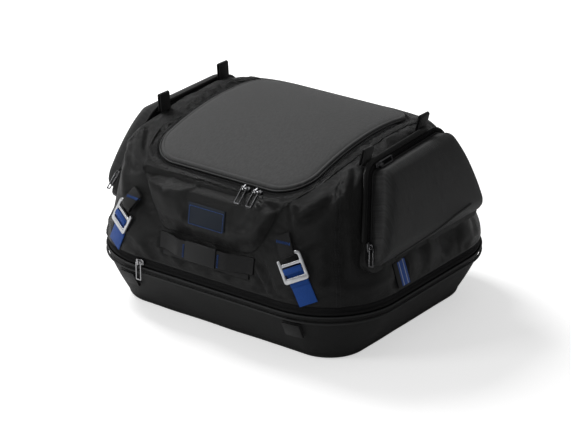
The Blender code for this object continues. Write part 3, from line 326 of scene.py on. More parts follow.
def moulded(name, colour, roughness):
    """Rubber or plastic with a fine leathery grain."""
    paint = Paint(name)
    paint.shader.inputs["Specular IOR Level"].default_value = 0.24
    place = paint.place()
    pores = paint.node("ShaderNodeTexVoronoi", None, {"Vector": place, "Scale": 1 / 0.0006 / 4})
    cloud = paint.noise(place, 30.0, 3.0, 0.5)
    paint.colour(paint.blend(cloud, shade(colour, 0.85), shade(colour, 1.15)))
    paint.roughness((cloud - 0.5) * 0.2 + roughness)
    paint.relief(pores, 0.0001)
    return paint.made


def floor_finish(name):
    paint = Paint(name, roughness=0.9)
    paint.shader.inputs["Specular IOR Level"].default_value = 0.0
    cloud = paint.noise(paint.place(), 3.0)
    paint.colour(paint.blend(cloud, (0.90, 0.90, 0.90), (0.92, 0.92, 0.92)))
    tree = paint.tree
    glow = tree.nodes.new("ShaderNodeEmission")
    rays = tree.nodes.new("ShaderNodeLightPath")
    tree.links.new(rays.outputs["Is Camera Ray"], glow.inputs["Strength"])
    glow.inputs["Color"].default_value = (0.54, 0.54, 0.54, 1)
    added = tree.nodes.new("ShaderNodeAddShader")
    tree.links.new(paint.shader.outputs[0], added.inputs[0])
    tree.links.new(glow.outputs[0], added.inputs[1])
    tree.links.new(added.outputs[0], tree.nodes["Material Output"].inputs["Surface"])
    return paint.made


def add_stage():
    built = bmesh.new()
    bmesh.ops.create_grid(built, x_segments=2, y_segments=2, size=9)
    bmesh.ops.translate(built, vec=(0, 0, -0.0003), verts=built.verts)
    mesh = as_mesh(built, "floor")
    floor = bpy.data.objects.new("floor", mesh)
    scene.collection.objects.link(floor)
    mesh.materials.append(floor_finish("floor"))
    world = bpy.data.worlds.new("studio")
    scene.world = world
    world.use_nodes = True
    tree = world.node_tree
    plain = tree.nodes["Background"]
    plain.inputs["Color"].default_value = (1, 1, 1, 1)
    plain.inputs["Strength"].default_value = 0.26
    white = tree.nodes.new("ShaderNodeBackground")
    white.inputs["Color"].default_value = (1, 1, 1, 1)
    white.inputs["Strength"].default_value = 1.0
    rays = tree.nodes.new("ShaderNodeLightPath")
    mixer = tree.nodes.new("ShaderNodeMixShader")
    tree.links.new(rays.outputs["Is Camera Ray"], mixer.inputs[0])
    tree.links.new(plain.outputs[0], mixer.inputs[1])
    tree.links.new(white.outputs[0], mixer.inputs[2])
    tree.links.new(mixer.outputs[0], tree.nodes["World Output"].inputs["Surface"])
    scene.view_settings.view_transform = "Standard"
    add_softbox("key", (-1.9, 0.3, 2.4), (0, 0, 0.1), (1.2, 1.2), 62)
    add_softbox("front", (-1.6, -2.6, 1.5), (0, 0, 0.12), (1.0, 1.0), 26)


# Shapes


def mix(a, b, share):
    return a + (b - a) * share


def crown(x, y):
    side = max(0.0, abs(x) - CROWN_FLAT)
    along = 1.0 if y < CROWN_MIDDLE_Y else 1.4
    return CROWN_TOP - along * (y - CROWN_MIDDLE_Y) ** 2 - 0.2 * side * side


def side_x(z):
    return BAG_HALF_WIDTH - SIDE_LEAN * (z - BODY_Z)


def front_y(z):
    return -BAG_HALF_DEPTH + FRONT_LEAN * (z - BODY_Z)


def back_y(z):
    return BAG_HALF_DEPTH - BACK_LEAN * (z - BODY_Z)


def plan_ring(half_width, front, back, corner):
    """A rounded rectangle seen from above, anticlockwise from its front right corner."""
    points = []
    centres = (
        (half_width - corner, front + corner, -90),
        (half_width - corner, back - corner, 0),
        (-half_width + corner, back - corner, 90),
        (-half_width + corner, front + corner, 180),
    )
    for index, (x, y, start) in enumerate(centres):
        for step in range(ARC_STEPS + 1):
            angle = math.radians(start + 90 * step / ARC_STEPS)
            points.append(Vector((x + corner * math.cos(angle), y + corner * math.sin(angle))))
        following = centres[(index + 1) % 4]
        angle = math.radians(following[2])
        target = Vector((following[0] + corner * math.cos(angle), following[1] + corner * math.sin(angle)))
        last = points[-1].copy()
        points.extend(last.lerp(target, step / SIDE_STEPS) for step in range(1, SIDE_STEPS))
    return points


def wall_ring(share):
    """A ring of the body's walls, from the zip at 0 to the shoulder at 1."""
    shoulder_z = crown(BAG_HALF_WIDTH - SIDE_LEAN * (CROWN_TOP - BODY_Z), 0)
    nominal_z = mix(BODY_Z, shoulder_z, share)
    half_width = side_x(nominal_z)
    front = front_y(nominal_z)
    back = back_y(nominal_z)
    ring = []
    for x, y in plan_ring(half_width, front, back, mix(BAG_CORNER, SHOULDER_CORNER, share)):
        z = mix(BODY_Z, crown(x, y), share)
        y_limit = (front_y(z) / front) if y < 0 else (back_y(z) / back)
        ring.append(Vector((x * side_x(z) / half_width, y * y_limit, z)))
    return ring


def top_ring(half_width, front, back, corner, drop=0.0):
    return [Vector((x, y, crown(x, y) - drop)) for x, y in plan_ring(half_width, front, back, corner)]


def lid_outline(grow=0.0, back_grow=None):
    back = LID_BACK + (grow if back_grow is None else back_grow)
    return LID_HALF_WIDTH + grow, LID_FRONT - grow, back, LID_CORNER + grow


def tub_ring(z, grow=0.0):
    share = (z - FOOT_EDGE) / (RIM_Z - FOOT_EDGE)
    inset = FOOT_INSET * (1 - share) ** 1.25 + RIM_LEAN * share * (1 - share)
    corner = mix(FOOT_CORNER, BAG_CORNER, share) + grow
    half_depth = BAG_HALF_DEPTH - inset + grow
    ring = plan_ring(BAG_HALF_WIDTH - inset + grow, -half_depth, half_depth, corner)
    return [Vector((x, y, z)) for x, y in ring]


def skin(rings, closed=True, planar=None):
    """A sheet of quads over rows of points. Its weave map is in metres: round the rows and
    up them, or the two coordinates that planar gives for a point."""
    points = np.array([[tuple(point) for point in ring] for ring in rings])
    rows = points.shape[0] - 1
    if closed:
        points = np.concatenate([points, points[:, :1]], axis=1)
    columns = points.shape[1] - 1
    around = np.linalg.norm(np.diff(points, axis=1), axis=2).max(axis=0).cumsum()
    upward = np.linalg.norm(np.diff(points, axis=0), axis=2).mean(axis=1).cumsum()
    around = np.concatenate([[0], around])
    upward = np.concatenate([[0], upward])
    built = bmesh.new()
    layer = built.loops.layers.uv.new("weave")
    bmesh.ops.create_grid(built, x_segments=columns, y_segments=rows, size=1)
    reach = max(corner.co.x for corner in built.verts)
    spots = {}
    for corner in built.verts:
        column = round((corner.co.x / reach + 1) / 2 * columns)
        row = round((corner.co.y / reach + 1) / 2 * rows)
        corner.co = points[row][column]
        spots[corner] = planar(corner.co) if planar else (around[column], upward[row])
    for face in built.faces:
        for loop in face.loops:
            loop[layer].uv = spots[loop.vert]
    bmesh.ops.remove_doubles(built, verts=built.verts, dist=1e-7)
    return built


def add_piece(name, built, finish, body, replaces=()):
    """Put a bmesh or mesh into the scene as a piece of the bag."""
    mesh = as_mesh(built) if isinstance(built, bmesh.types.BMesh) else built
    mesh.name = name
    mesh.materials.clear()
    mesh.materials.append(FINISHES[finish])
    for face in mesh.polygons:
        face.use_smooth = True
    piece = bpy.data.objects.new(name, mesh)
    scene.collection.objects.link(piece)
    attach(piece, body)
    if replaces:
        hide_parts(*replaces)
    return piece


def evaluated_mesh(piece):
    graph = bpy.context.evaluated_depsgraph_get()
    return bpy.data.meshes.new_from_object(piece.evaluated_get(graph))


def with_modifiers(built, steps):
    """The mesh of a bmesh after modifiers, each given as its type and settings."""
    holder = bpy.data.objects.new("work", as_mesh(built))
    scene.collection.objects.link(holder)
    for kind, settings in steps:
        modifier = holder.modifiers.new(kind.lower(), kind)
        for name, value in settings.items():
            setattr(modifier, name, value)
    made = evaluated_mesh(holder)
    bpy.data.objects.remove(holder)
    return made


SMOOTHER = ("SUBSURF", {"levels": 1, "render_levels": 1})


def shell(thickness, offset=-1):
    return "SOLIDIFY", {"thickness": thickness, "offset": offset}


def as_bmesh(mesh):
    built = bmesh.new()
    built.from_mesh(mesh)
    return built


def as_mesh(built, name="work"):
    mesh = bpy.data.meshes.new(name)
    built.to_mesh(mesh)
    built.free()
    return mesh


def tree_of(*names):
    """A search tree of CAD nodes' surfaces."""
    corners = []
    faces = []
    for name in names:
        mesh = nodes[name].data
        start = len(corners)
        corners.extend(corner.co.copy() for corner in mesh.vertices)
        faces.extend([start + index for index in face.vertices] for face in mesh.polygons)
    return BVHTree.FromPolygons(corners, faces)


def mesh_tree(mesh):
    corners = [corner.co.copy() for corner in mesh.vertices]
    return BVHTree.FromPolygons(corners, [list(face.vertices) for face in mesh.polygons])


def clear_of(mesh, node, push, shifts=(0.0,), gap=0.0006):
    """Move a mesh's corners behind a CAD node that lies on it, wherever the node slides along X."""
    tree = tree_of(node)
    low, high = np.array(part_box(node))
    low = low - CLEAR_MARGIN + np.array((min(shifts), 0, 0))
    high = high + CLEAR_MARGIN + np.array((max(shifts), 0, 0))
    places = corner_places(mesh)
    push = Vector(push)
    aside = push.cross(Vector((0, 0, 1))) * CLEAR_ASIDE
    for index in np.flatnonzero(np.all((places > low) & (places < high), axis=1)):
        deepest = -1.0
        for shift in shifts:
            for step in (-1, 0, 1):
                start = Vector(places[index]) - push * CLEAR_START + aside * step - Vector((shift, 0, 0))
                travelled = 0.0
                while travelled < CLEAR_RAY:
                    distance = tree.ray_cast(start + push * travelled, push, CLEAR_RAY - travelled)[3]
                    if distance is None:
                        break
                    travelled += distance + 0.0001
                deepest = max(deepest, travelled - CLEAR_START)
        if -gap < deepest < CLEAR_REACH:
            places[index] += np.array(push) * (deepest + gap)
    move_corners(mesh, places)


def clear_trim(mesh):
    """Keep a mesh behind the webbing, the handle and the lid's pullers."""
    for end, push in (("front", (0, 1, 0)), ("back", (0, -1, 0))):
        for tag in ("left", "right"):
            clear_of(mesh, f"blue_strap_{end}_{tag}", push)
            clear_of(mesh, f"black_loop_{end}_{tag}", push)
    clear_of(mesh, "side_tab_right", (-1, 0, 0))
    clear_of(mesh, "side_tab_left", (1, 0, 0))
    clear_of(mesh, "handle_base_strip", (0, 1, 0))
    clear_of(mesh, "handle_strap", (0, 1, 0))
    clear_of(mesh, "lid_left_puller", (0, 1, 0), [-0.005 * step for step in range(26)])
    clear_of(mesh, "lid_right_puller", (0, 1, 0), [0.0025 * step for step in range(5)])


def corner_places(mesh):
    places = np.zeros(len(mesh.vertices) * 3)
    mesh.vertices.foreach_get("co", places)
    return places.reshape(-1, 3)


def move_corners(mesh, places):
    mesh.vertices.foreach_set("co", places.ravel())
    mesh.update()


def corner_normals(mesh):
    normals = np.zeros(len(mesh.vertices) * 3, np.float32)
    mesh.vertex_normals.foreach_get("vector", normals)
    return normals.reshape(-1, 3).astype(float)


def distance_to(places, path, lengthwise=False):
    """Each place's distance to a path of points, and how far along the path it is, 0 to 1."""
    path = np.array([tuple(point) for point in path], float)
    best = np.full(len(places), 1e9)
    where = np.zeros(len(places))
    spans = np.linalg.norm(np.diff(path, axis=0), axis=1)
    total = spans.sum()
    run = 0.0
    for start, end, span in zip(path, path[1:], spans):
        direction = (end - start) / span
        along = np.clip((places - start) @ direction, 0, span)
        away = np.linalg.norm(places - start - along[:, None] * direction, axis=1)
        nearer = away < best
        best[nearer] = away[nearer]
        where[nearer] = (run + along[nearer]) / total
        run += span
    return (best, where) if lengthwise else best


def press(mesh, creases):
    """Raise or sink a mesh along paths: each crease is its points, half width, height and
    whether it fades out towards both ends."""
    places = corner_places(mesh)
    normals = corner_normals(mesh)
    lift = np.zeros(len(places))
    tree = mesh_tree(mesh)
    for path, width, height, fades in creases:
        away, where = distance_to(places, laid(path, tree), lengthwise=True)
        shape = np.exp(-((away / width) ** 2))
        if fades:
            shape = shape * np.sin(np.pi * np.clip(where, 0.02, 0.98)) ** 0.6
        lift += shape * height
    places += normals * lift[:, None]
    move_corners(mesh, places)


def ripple(mesh, height, size, seed):
    """A gentle unevenness, as fabric over padding has."""
    places = corner_places(mesh)
    normals = corner_normals(mesh)
    shift = Vector((seed * 3.1, seed * 1.7, seed * 2.3))
    lift = np.array([noise.noise(Vector(place) / size + shift) for place in places])
    places += normals * (lift * height)[:, None]
    move_corners(mesh, places)


def settle(mesh, held, growth, pressure, bend=0.6, cap=0.006, frames=20):
    """Let cloth settle: held is each corner's hold from 0 to 1, growth how much longer the
    cloth is than its form. No corner moves further than cap."""
    holder = bpy.data.objects.new("cloth", mesh)
    scene.collection.objects.link(holder)
    group = holder.vertex_groups.new(name="held")
    for index, weight in enumerate(held):
        if weight > 0:
            group.add([index], float(weight), "REPLACE")
    modifier = holder.modifiers.new("cloth", "CLOTH")
    cloth = modifier.settings
    cloth.quality = 5
    cloth.mass = 0.3
    cloth.tension_stiffness = 20
    cloth.compression_stiffness = 20
    cloth.shear_stiffness = 8
    cloth.bending_stiffness = bend
    cloth.use_pressure = pressure > 0
    cloth.uniform_pressure_force = pressure
    cloth.vertex_group_mass = "held"
    cloth.shrink_min = -growth
    cloth.effector_weights.gravity = 0
    modifier.collision_settings.use_collision = False
    before = corner_places(mesh)
    for number in range(1, frames + 1):
        scene.frame_set(number)
    settled = evaluated_mesh(holder)
    after = corner_places(settled)
    move = after - before
    far = np.linalg.norm(move, axis=1)
    scale = np.minimum(1.0, cap / np.maximum(far, 1e-9))
    move_corners(mesh, before + move * scale[:, None])
    bpy.data.objects.remove(holder)
    bpy.data.meshes.remove(settled)
    scene.frame_set(1)


def piping(path, radius, cyclic=False, sides=3):
    """A round cord along points, as a mesh with a weave map round and along it."""
    curve = bpy.data.curves.new("cord", "CURVE")
    curve.dimensions = "3D"
    curve.bevel_depth = radius
    curve.bevel_resolution = sides
    curve.use_fill_caps = not cyclic
    spline = curve.splines.new("POLY")
    spline.points.add(len(path) - 1)
    for point, place in zip(spline.points, path):
        point.co = (*place, 1)
    spline.use_cyclic_u = cyclic
    holder = bpy.data.objects.new("cord", curve)
    scene.collection.objects.link(holder)
    mesh = evaluated_mesh(holder)
    bpy.data.objects.remove(holder)
    built = as_bmesh(mesh)
    bmesh.ops.remove_doubles(built, verts=built.verts, dist=1e-6)
    bmesh.ops.recalc_face_normals(built, faces=built.faces)
    return built


def laid(path, tree, lift=0.0):
    """Points moved onto a surface and raised off it."""
    places = []
    for point in path:
        spot, normal, _, _ = tree.find_nearest(Vector(point))
        places.append(spot + normal * lift)
    return places


def stitches(path, tree, pitch=0.0042, length=0.0029, gauge=0.00045):
    """A row of sewn stitches that lie on a surface along a path."""
    built = bmesh.new()
    path = laid(path, tree, gauge * 0.45)
    total = sum((b - a).length for a, b in zip(path, path[1:]))
    places = smooth_path(path, max(int(total / pitch), 2) + 1)
    for start, end in zip(places, places[1:]):
        along = (end - start).normalized()
        turn = along.to_track_quat("Z", "X").to_matrix().to_4x4()
        turn.translation = start + along * pitch / 2
        bmesh.ops.create_cone(
            built, segments=5, radius1=gauge, radius2=gauge, depth=length, cap_ends=True, matrix=turn
        )
    return built


def shifted(path, shift):
    return [Vector(point) + Vector(shift) for point in path]


def box_map(built):
    """A weave map in metres that looks straight at each face's nearest axis."""
    layer = built.loops.layers.uv.get("weave") or built.loops.layers.uv.new("weave")
    for face in built.faces:
        normal = face.normal
        sizes = [abs(channel) for channel in normal]
        for loop in face.loops:
            x, y, z = loop.vert.co
            if sizes[2] > 0.75:
                loop[layer].uv = (x, y)
            elif sizes[0] > sizes[1]:
                loop[layer].uv = (y, z)
            else:
                loop[layer].uv = (x, z)


def strap_map(built):
    """A weave map in metres for a folded strap: across it and along it."""
    spread = np.zeros((3, 3))
    for face in built.faces:
        normal = np.array(face.normal)
        spread += np.outer(normal, normal) * face.calc_area()
    _, directions = np.linalg.eigh(spread)
    across = Vector(directions[:, 0])
    along = Vector(directions[:, 1])
    layer = built.loops.layers.uv.get("weave") or built.loops.layers.uv.new("weave")
    for face in built.faces:
        for loop in face.loops:
            loop[layer].uv = (loop.vert.co.dot(across), loop.vert.co.dot(along))


def joined(name):
    """A welded copy of a CAD node's mesh, with its flat areas made single faces."""
    built = as_bmesh(nodes[name].data)
    for layer in list(built.loops.layers.uv):
        built.loops.layers.uv.remove(layer)
    bmesh.ops.remove_doubles(built, verts=built.verts, dist=2e-6)
    flat = math.radians(0.5)
    bmesh.ops.dissolve_limit(built, angle_limit=flat, verts=built.verts, edges=built.edges)
    return built


def smooth_by_angle(mesh, angle):
    built = as_bmesh(mesh)
    for edge in built.edges:
        edge.smooth = len(edge.link_faces) == 2 and edge.calc_face_angle(0.0) < angle
    for face in built.faces:
        face.smooth = True
    built.to_mesh(mesh)
    built.free()


def refine(node, finish, body, edge=0.0004, mapper=box_map):
    """A CAD piece of the right shape with small rounded edges and a mapped finish."""
    built = joined(node)
    settings = {"width": edge, "segments": 2, "limit_method": "ANGLE", "angle_limit": math.radians(30)}
    settings["use_clamp_overlap"] = True
    mesh = with_modifiers(built, [("BEVEL", settings)])
    built = as_bmesh(mesh)
    mapper(built)
    piece = add_piece(f"look_{node}", built, finish, body, [node])
    smooth_by_angle(piece.data, math.radians(SHARP_DEGREES))
    return piece


# Finishes

FINISHES = {
    "tub": woven("tub fabric", (0.0075, 0.0076, 0.0077), 0.60, streak=0.35, sheen=0.03),
    "body": woven("body fabric", (0.0042, 0.0043, 0.0043), 0.40, streak=0.95, sheen=0.03, relief=0.0004),
    "collar": woven("collar fabric", (0.0044, 0.0045, 0.0045), 0.41, streak=0.95, sheen=0.03, relief=0.0004),
    "lid": pebbled("lid fabric", (0.0262, 0.0265, 0.0268), 0.64),
    "cover": woven("pocket cover", (0.0245, 0.0248, 0.0251), 0.58, streak=0.55, sheen=0.05, relief=0.0003),
    "piping": moulded("piping", (0.018, 0.0185, 0.019), 0.5),
    # Zip tape: partly its own black, partly painted shade, set darker than the body fabric so the recess
    # round the lid reads dark; the linings use it too
    "tape": woven("zip tape and painted shade", (0.0035, 0.0035, 0.0038), 0.8, pitch=0.0008, sheen=0.0),
    "teeth": moulded("zip coil", (0.012, 0.012, 0.013), 0.38),
    "black": webbing("black webbing", (0.0085, 0.0085, 0.0090), 0.58),
    "blue": webbing("blue webbing", (0.006, 0.058, 0.28), 0.58),
    "striped": striped("striped webbing", (0.010, 0.010, 0.011), (0.020, 0.072, 0.30), (0.42, 0.45, 0.52)),
    "grip": moulded("grip rubber", (0.013, 0.0133, 0.0138), 0.5),
    "board": moulded("floor board", (0.018, 0.018, 0.019), 0.75),
    "patch": moulded("blank patch", (0.006, 0.011, 0.021), 0.55),
    "satin": plated("satin aluminium", (0.66, 0.67, 0.69), 0.32),
    "gunmetal": plated("gunmetal", (0.13, 0.13, 0.135), 0.36),
    "bright": plated("bright zip metal", (0.45, 0.45, 0.46), 0.28),
    "thread": moulded("thread", (0.020, 0.0205, 0.022), 0.6),
    "blue thread": moulded("blue thread", (0.03, 0.10, 0.36), 0.6),
}


# Tub and base zip


def build_tub():
    rings = [[Vector((x * share, y * share, 0.0)) for x, y in plan_ring(*UNDERSIDE)]
             for share in (0.02, 0.35, 0.7, 0.95)]
    half_width = BAG_HALF_WIDTH - FOOT_INSET
    half_depth = BAG_HALF_DEPTH - FOOT_INSET
    for angle in range(0, 91, 15):
        inset = FOOT_EDGE * (1 - math.sin(math.radians(angle)))
        z = FOOT_EDGE * (1 - math.cos(math.radians(angle)))
        plan = plan_ring(half_width - inset, -half_depth + inset, half_depth - inset, FOOT_CORNER - inset)
        rings.append([Vector((x, y, z)) for x, y in plan])
    for step in range(1, 19):
        rings.append(tub_ring(mix(FOOT_EDGE, RIM_Z, step / 18)))
    built = skin(rings)
    inner = skin([tub_ring(z, -LINING_INSET) for z in (RIM_Z, 0.06, 0.03, 0.014)])
    mesh = with_modifiers(built, [SMOOTHER])
    seam = tub_ring(PIPING_Z + 0.0001)
    press(mesh, [(seam + seam[:1], 0.0022, -0.0007, False)])
    ripple(mesh, 0.0006, 0.05, 3)
    places = corner_places(mesh)
    places[:, 2] = np.clip(places[:, 2], 0.0, RIM_Z)
    move_corners(mesh, places)
    add_piece("look_tub", mesh, "tub", "bag", ["base_tub"])
    bmesh.ops.reverse_faces(inner, faces=inner.faces)
    add_piece("tub_lining", inner, "tape", "bag")
    heights = (-0.008, BODY_Z - RIM_Z + 0.004)
    built = skin([shifted(tub_ring(RIM_Z, -0.0046), (0, 0, height)) for height in heights])
    bmesh.ops.reverse_faces(built, faces=built.faces)
    add_piece("rim_lining", built, "tape", "bag")
    loop = tub_ring(PIPING_Z, 0.0024)
    add_piece("look_tub_piping", piping(loop, 0.0018, True), "piping", "bag", ["tub_piping"])
    loop = tub_ring(RIM_Z - 0.0012, 0.0006)
    add_piece("tub_rim_piping", piping(loop, 0.0014, True), "piping", "bag")


def zip_coil(path, outward, gauge=0.0011, pitch=0.0017, width=0.0042):
    """Two rows of small coil loops along a path, lying against what outward points away from."""
    built = bmesh.new()
    path = [Vector(point) for point in path]
    spans = [(b - a).length for a, b in zip(path, path[1:])]
    total = sum(spans)
    count = int(total / pitch)
    index = 0
    run = 0.0
    for number in range(count):
        at = (number + 0.5) * total / count
        while run + spans[index] < at and index < len(spans) - 1:
            run += spans[index]
            index += 1
        share = (at - run) / spans[index]
        place = path[index].lerp(path[index + 1], share)
        along = (path[index + 1] - path[index]).normalized()
        up = outward(place)
        up = (up - along * up.dot(along)).normalized()
        across = along.cross(up)
        side = 1 if number % 2 else -1
        turn = Matrix((along, across, up)).transposed().to_4x4()
        turn.translation = place + across * side * width * 0.22 + up * gauge * 0.35
        shape = bmesh.ops.create_cone(
            built, segments=6, radius1=gauge * 0.42, radius2=gauge * 0.42, depth=width * 0.62,
            cap_ends=True, matrix=turn @ Matrix.Rotation(math.radians(90), 4, "X"),
        )
        bmesh.ops.scale(built, vec=(1, 1, 0.8), space=turn.inverted(), verts=shape["verts"])
    return built


def zip_ring(z, grow):
    half_depth = ZIP_HALF_DEPTH + grow
    plan = plan_ring(ZIP_HALF_WIDTH + grow, -half_depth, half_depth, ZIP_CORNER + grow)
    return [Vector((x, y, z)) for x, y in plan]


def build_base_zip():
    profile = ((0.0833, 0.0), (0.0850, 0.0010), (0.0868, 0.0012), (0.0882, 0.0002), (0.0890, -0.0012),
               (0.0900, -COIL_INSET), (COIL_Z, -COIL_INSET), (0.0964, -COIL_INSET), (0.0972, -0.0004),
               (0.0978, 0.0))
    rings = []
    for z, grow in profile:
        rings.append(zip_ring(z, grow))
    mesh = with_modifiers(skin(rings), [shell(0.0018)])
    add_piece("look_base_zip", mesh, "tape", "bag", ["base_zip_band"])
    line = zip_ring(COIL_Z, -COIL_INSET)
    coil = zip_coil(line + line[:1], lambda place: Vector((place.x, place.y * 1.2, 0)))
    add_piece("base_zip_coil", coil, "teeth", "bag")


# Body


def body_rings():
    shoulder = wall_ring(1)
    wall_share = 1 - SHOULDER_ROUND / (CROWN_TOP - BODY_Z)
    below = wall_ring(wall_share)
    edge = top_ring(*lid_outline(LID_ZIP_WIDTH, 0.001))
    rings = [wall_ring(step / 30 * wall_share) for step in range(31)]
    inner = []
    for corner, rim in zip(shoulder, edge):
        share = SHOULDER_ROUND / max((rim - corner).length, 2 * SHOULDER_ROUND)
        x, y = mix(corner.x, rim.x, share), mix(corner.y, rim.y, share)
        inner.append(Vector((x, y, crown(x, y))))
    for share in (0.2, 0.4, 0.6, 0.8, 1.0):
        rings.append([a * (1 - share) ** 2 + b * 2 * share * (1 - share) + c * share ** 2
                      for a, b, c in zip(below, shoulder, inner)])
    for step in range(1, 11):
        ring = []
        for a, b in zip(inner, edge):
            x, y = mix(a.x, b.x, step / 10), mix(a.y, b.y, step / 10)
            ring.append(Vector((x, y, crown(x, y))))
        rings.append(ring)
    rings.append(top_ring(*lid_outline(LID_ZIP_WIDTH - 0.0006, 0.0004), LEDGE_DROP * 0.5))
    for grow in (LID_ZIP_WIDTH - 0.0008, 0.008, 0.0, -LEDGE_WIDTH * 0.6, -LEDGE_WIDTH):
        rings.append(top_ring(*lid_outline(grow, min(grow, 0.0)), LEDGE_DROP))
    return rings


# Soft folds of the body's front and shoulders: points, half width and height
FOLDS = (
    (((0.1278, -0.1795, 0.2423), (0.1359, -0.1945, 0.2305), (0.1417, -0.1964, 0.2137),
      (0.1446, -0.1991, 0.1945)), 0.0032, -0.0035),
    (((0.1330, -0.1800, 0.2421), (0.1410, -0.1930, 0.2290), (0.1500, -0.1955, 0.2080)), 0.0060, 0.0032),
    (((0.0819, -0.2095, 0.1413), (0.0950, -0.2123, 0.1226), (0.1109, -0.2159, 0.1010)), 0.0026, -0.0029),
    (((0.0890, -0.2095, 0.1420), (0.1030, -0.2123, 0.1226), (0.1180, -0.2159, 0.1030)), 0.0050, 0.0023),
    (((0.1033, -0.2084, 0.1486), (0.1195, -0.2125, 0.1216), (0.1290, -0.2150, 0.1050)), 0.0028, -0.0029),
    (((0.1695, -0.0999, 0.2682), (0.1889, -0.1361, 0.2544), (0.1997, -0.1448, 0.2260)), 0.0070, 0.0035),
    (((0.1760, -0.0950, 0.2660), (0.1940, -0.1280, 0.2520), (0.2050, -0.1400, 0.2260)), 0.0045, -0.0026),
    (((0.2035, -0.1430, 0.2264), (0.2104, -0.1520, 0.1878), (0.2200, -0.1560, 0.1493)), 0.0060, 0.0029),
    (((0.1490, -0.1935, 0.2184), (0.1643, -0.1791, 0.2400), (0.1742, -0.1515, 0.2521)), 0.0075, 0.0043),
    (((0.1530, -0.1940, 0.2080), (0.1680, -0.1800, 0.2270), (0.1790, -0.1600, 0.2400)), 0.0055, -0.0035),
    (((0.1572, -0.1985, 0.1766), (0.1716, -0.1887, 0.1922), (0.1874, -0.1751, 0.1992)), 0.0060, 0.0032),
    (((0.1600, -0.1990, 0.1650), (0.1750, -0.1900, 0.1790), (0.1900, -0.1760, 0.1850)), 0.0045, -0.0026),
    (((0.1789, -0.1955, 0.1432), (0.1862, -0.1877, 0.1576), (0.1977, -0.1769, 0.1626)), 0.0050, 0.0026),
    (((0.1900, -0.1900, 0.1250), (0.1980, -0.1820, 0.1380), (0.2050, -0.1740, 0.1430)), 0.0045, -0.0020),
    (((0.2014, -0.1616, 0.1906), (0.2092, -0.1630, 0.1626), (0.2116, -0.1719, 0.1319)), 0.0050, -0.0023),
    (((0.2306, -0.1500, 0.1175), (0.2401, -0.1207, 0.1209), (0.2419, -0.0796, 0.1220)), 0.0060, 0.0023),
    (((-0.1784, -0.1193, 0.2626), (-0.1532, -0.1603, 0.2495), (-0.1281, -0.1907, 0.2375)), 0.0040, -0.0038),
    (((-0.1850, -0.1250, 0.2590), (-0.1620, -0.1680, 0.2450), (-0.1400, -0.1930, 0.2270)), 0.0070, 0.0041),
    (((-0.1820, -0.1500, 0.2480), (-0.1711, -0.1777, 0.2350), (-0.1651, -0.1886, 0.2083),
      (-0.1600, -0.1970, 0.1750)), 0.0090, 0.0046),
    (((-0.1930, -0.1500, 0.2350), (-0.1900, -0.1680, 0.2100), (-0.1850, -0.1800, 0.1800)), 0.0070, -0.0038),
    (((-0.1527, -0.2095, 0.1227), (-0.1315, -0.2081, 0.1477), (-0.1236, -0.2054, 0.1687)), 0.0050, 0.0029),
    (((-0.1000, -0.2110, 0.1250), (-0.0860, -0.2100, 0.1400), (-0.0731, -0.2103, 0.1500)), 0.0026, -0.0026),
    (((-0.0731, -0.2103, 0.1358), (-0.0620, -0.2131, 0.1172), (-0.0560, -0.2150, 0.1040)), 0.0050, 0.0020),
    (((0.1425, -0.0558, 0.2744), (0.1494, -0.0316, 0.2780), (0.1631, -0.0138, 0.2833)), 0.0040, -0.0020),
)

SEAM_RIGHT = ((0.176, -0.128, 0.263), (0.180, -0.143, 0.2535), (0.1922, -0.1595, 0.2253),
              (0.1975, -0.1663, 0.1911), (0.2037, -0.172, 0.1567), (0.2079, -0.1775, 0.1291),
              (0.2118, -0.1825, 0.0985))
DART = ((0.1291, -0.214, 0.0985), (0.1087, -0.2124, 0.1224), (0.0882, -0.2089, 0.1456))


def mirrored(path):
    return tuple((-x, y, z) for x, y, z in path)


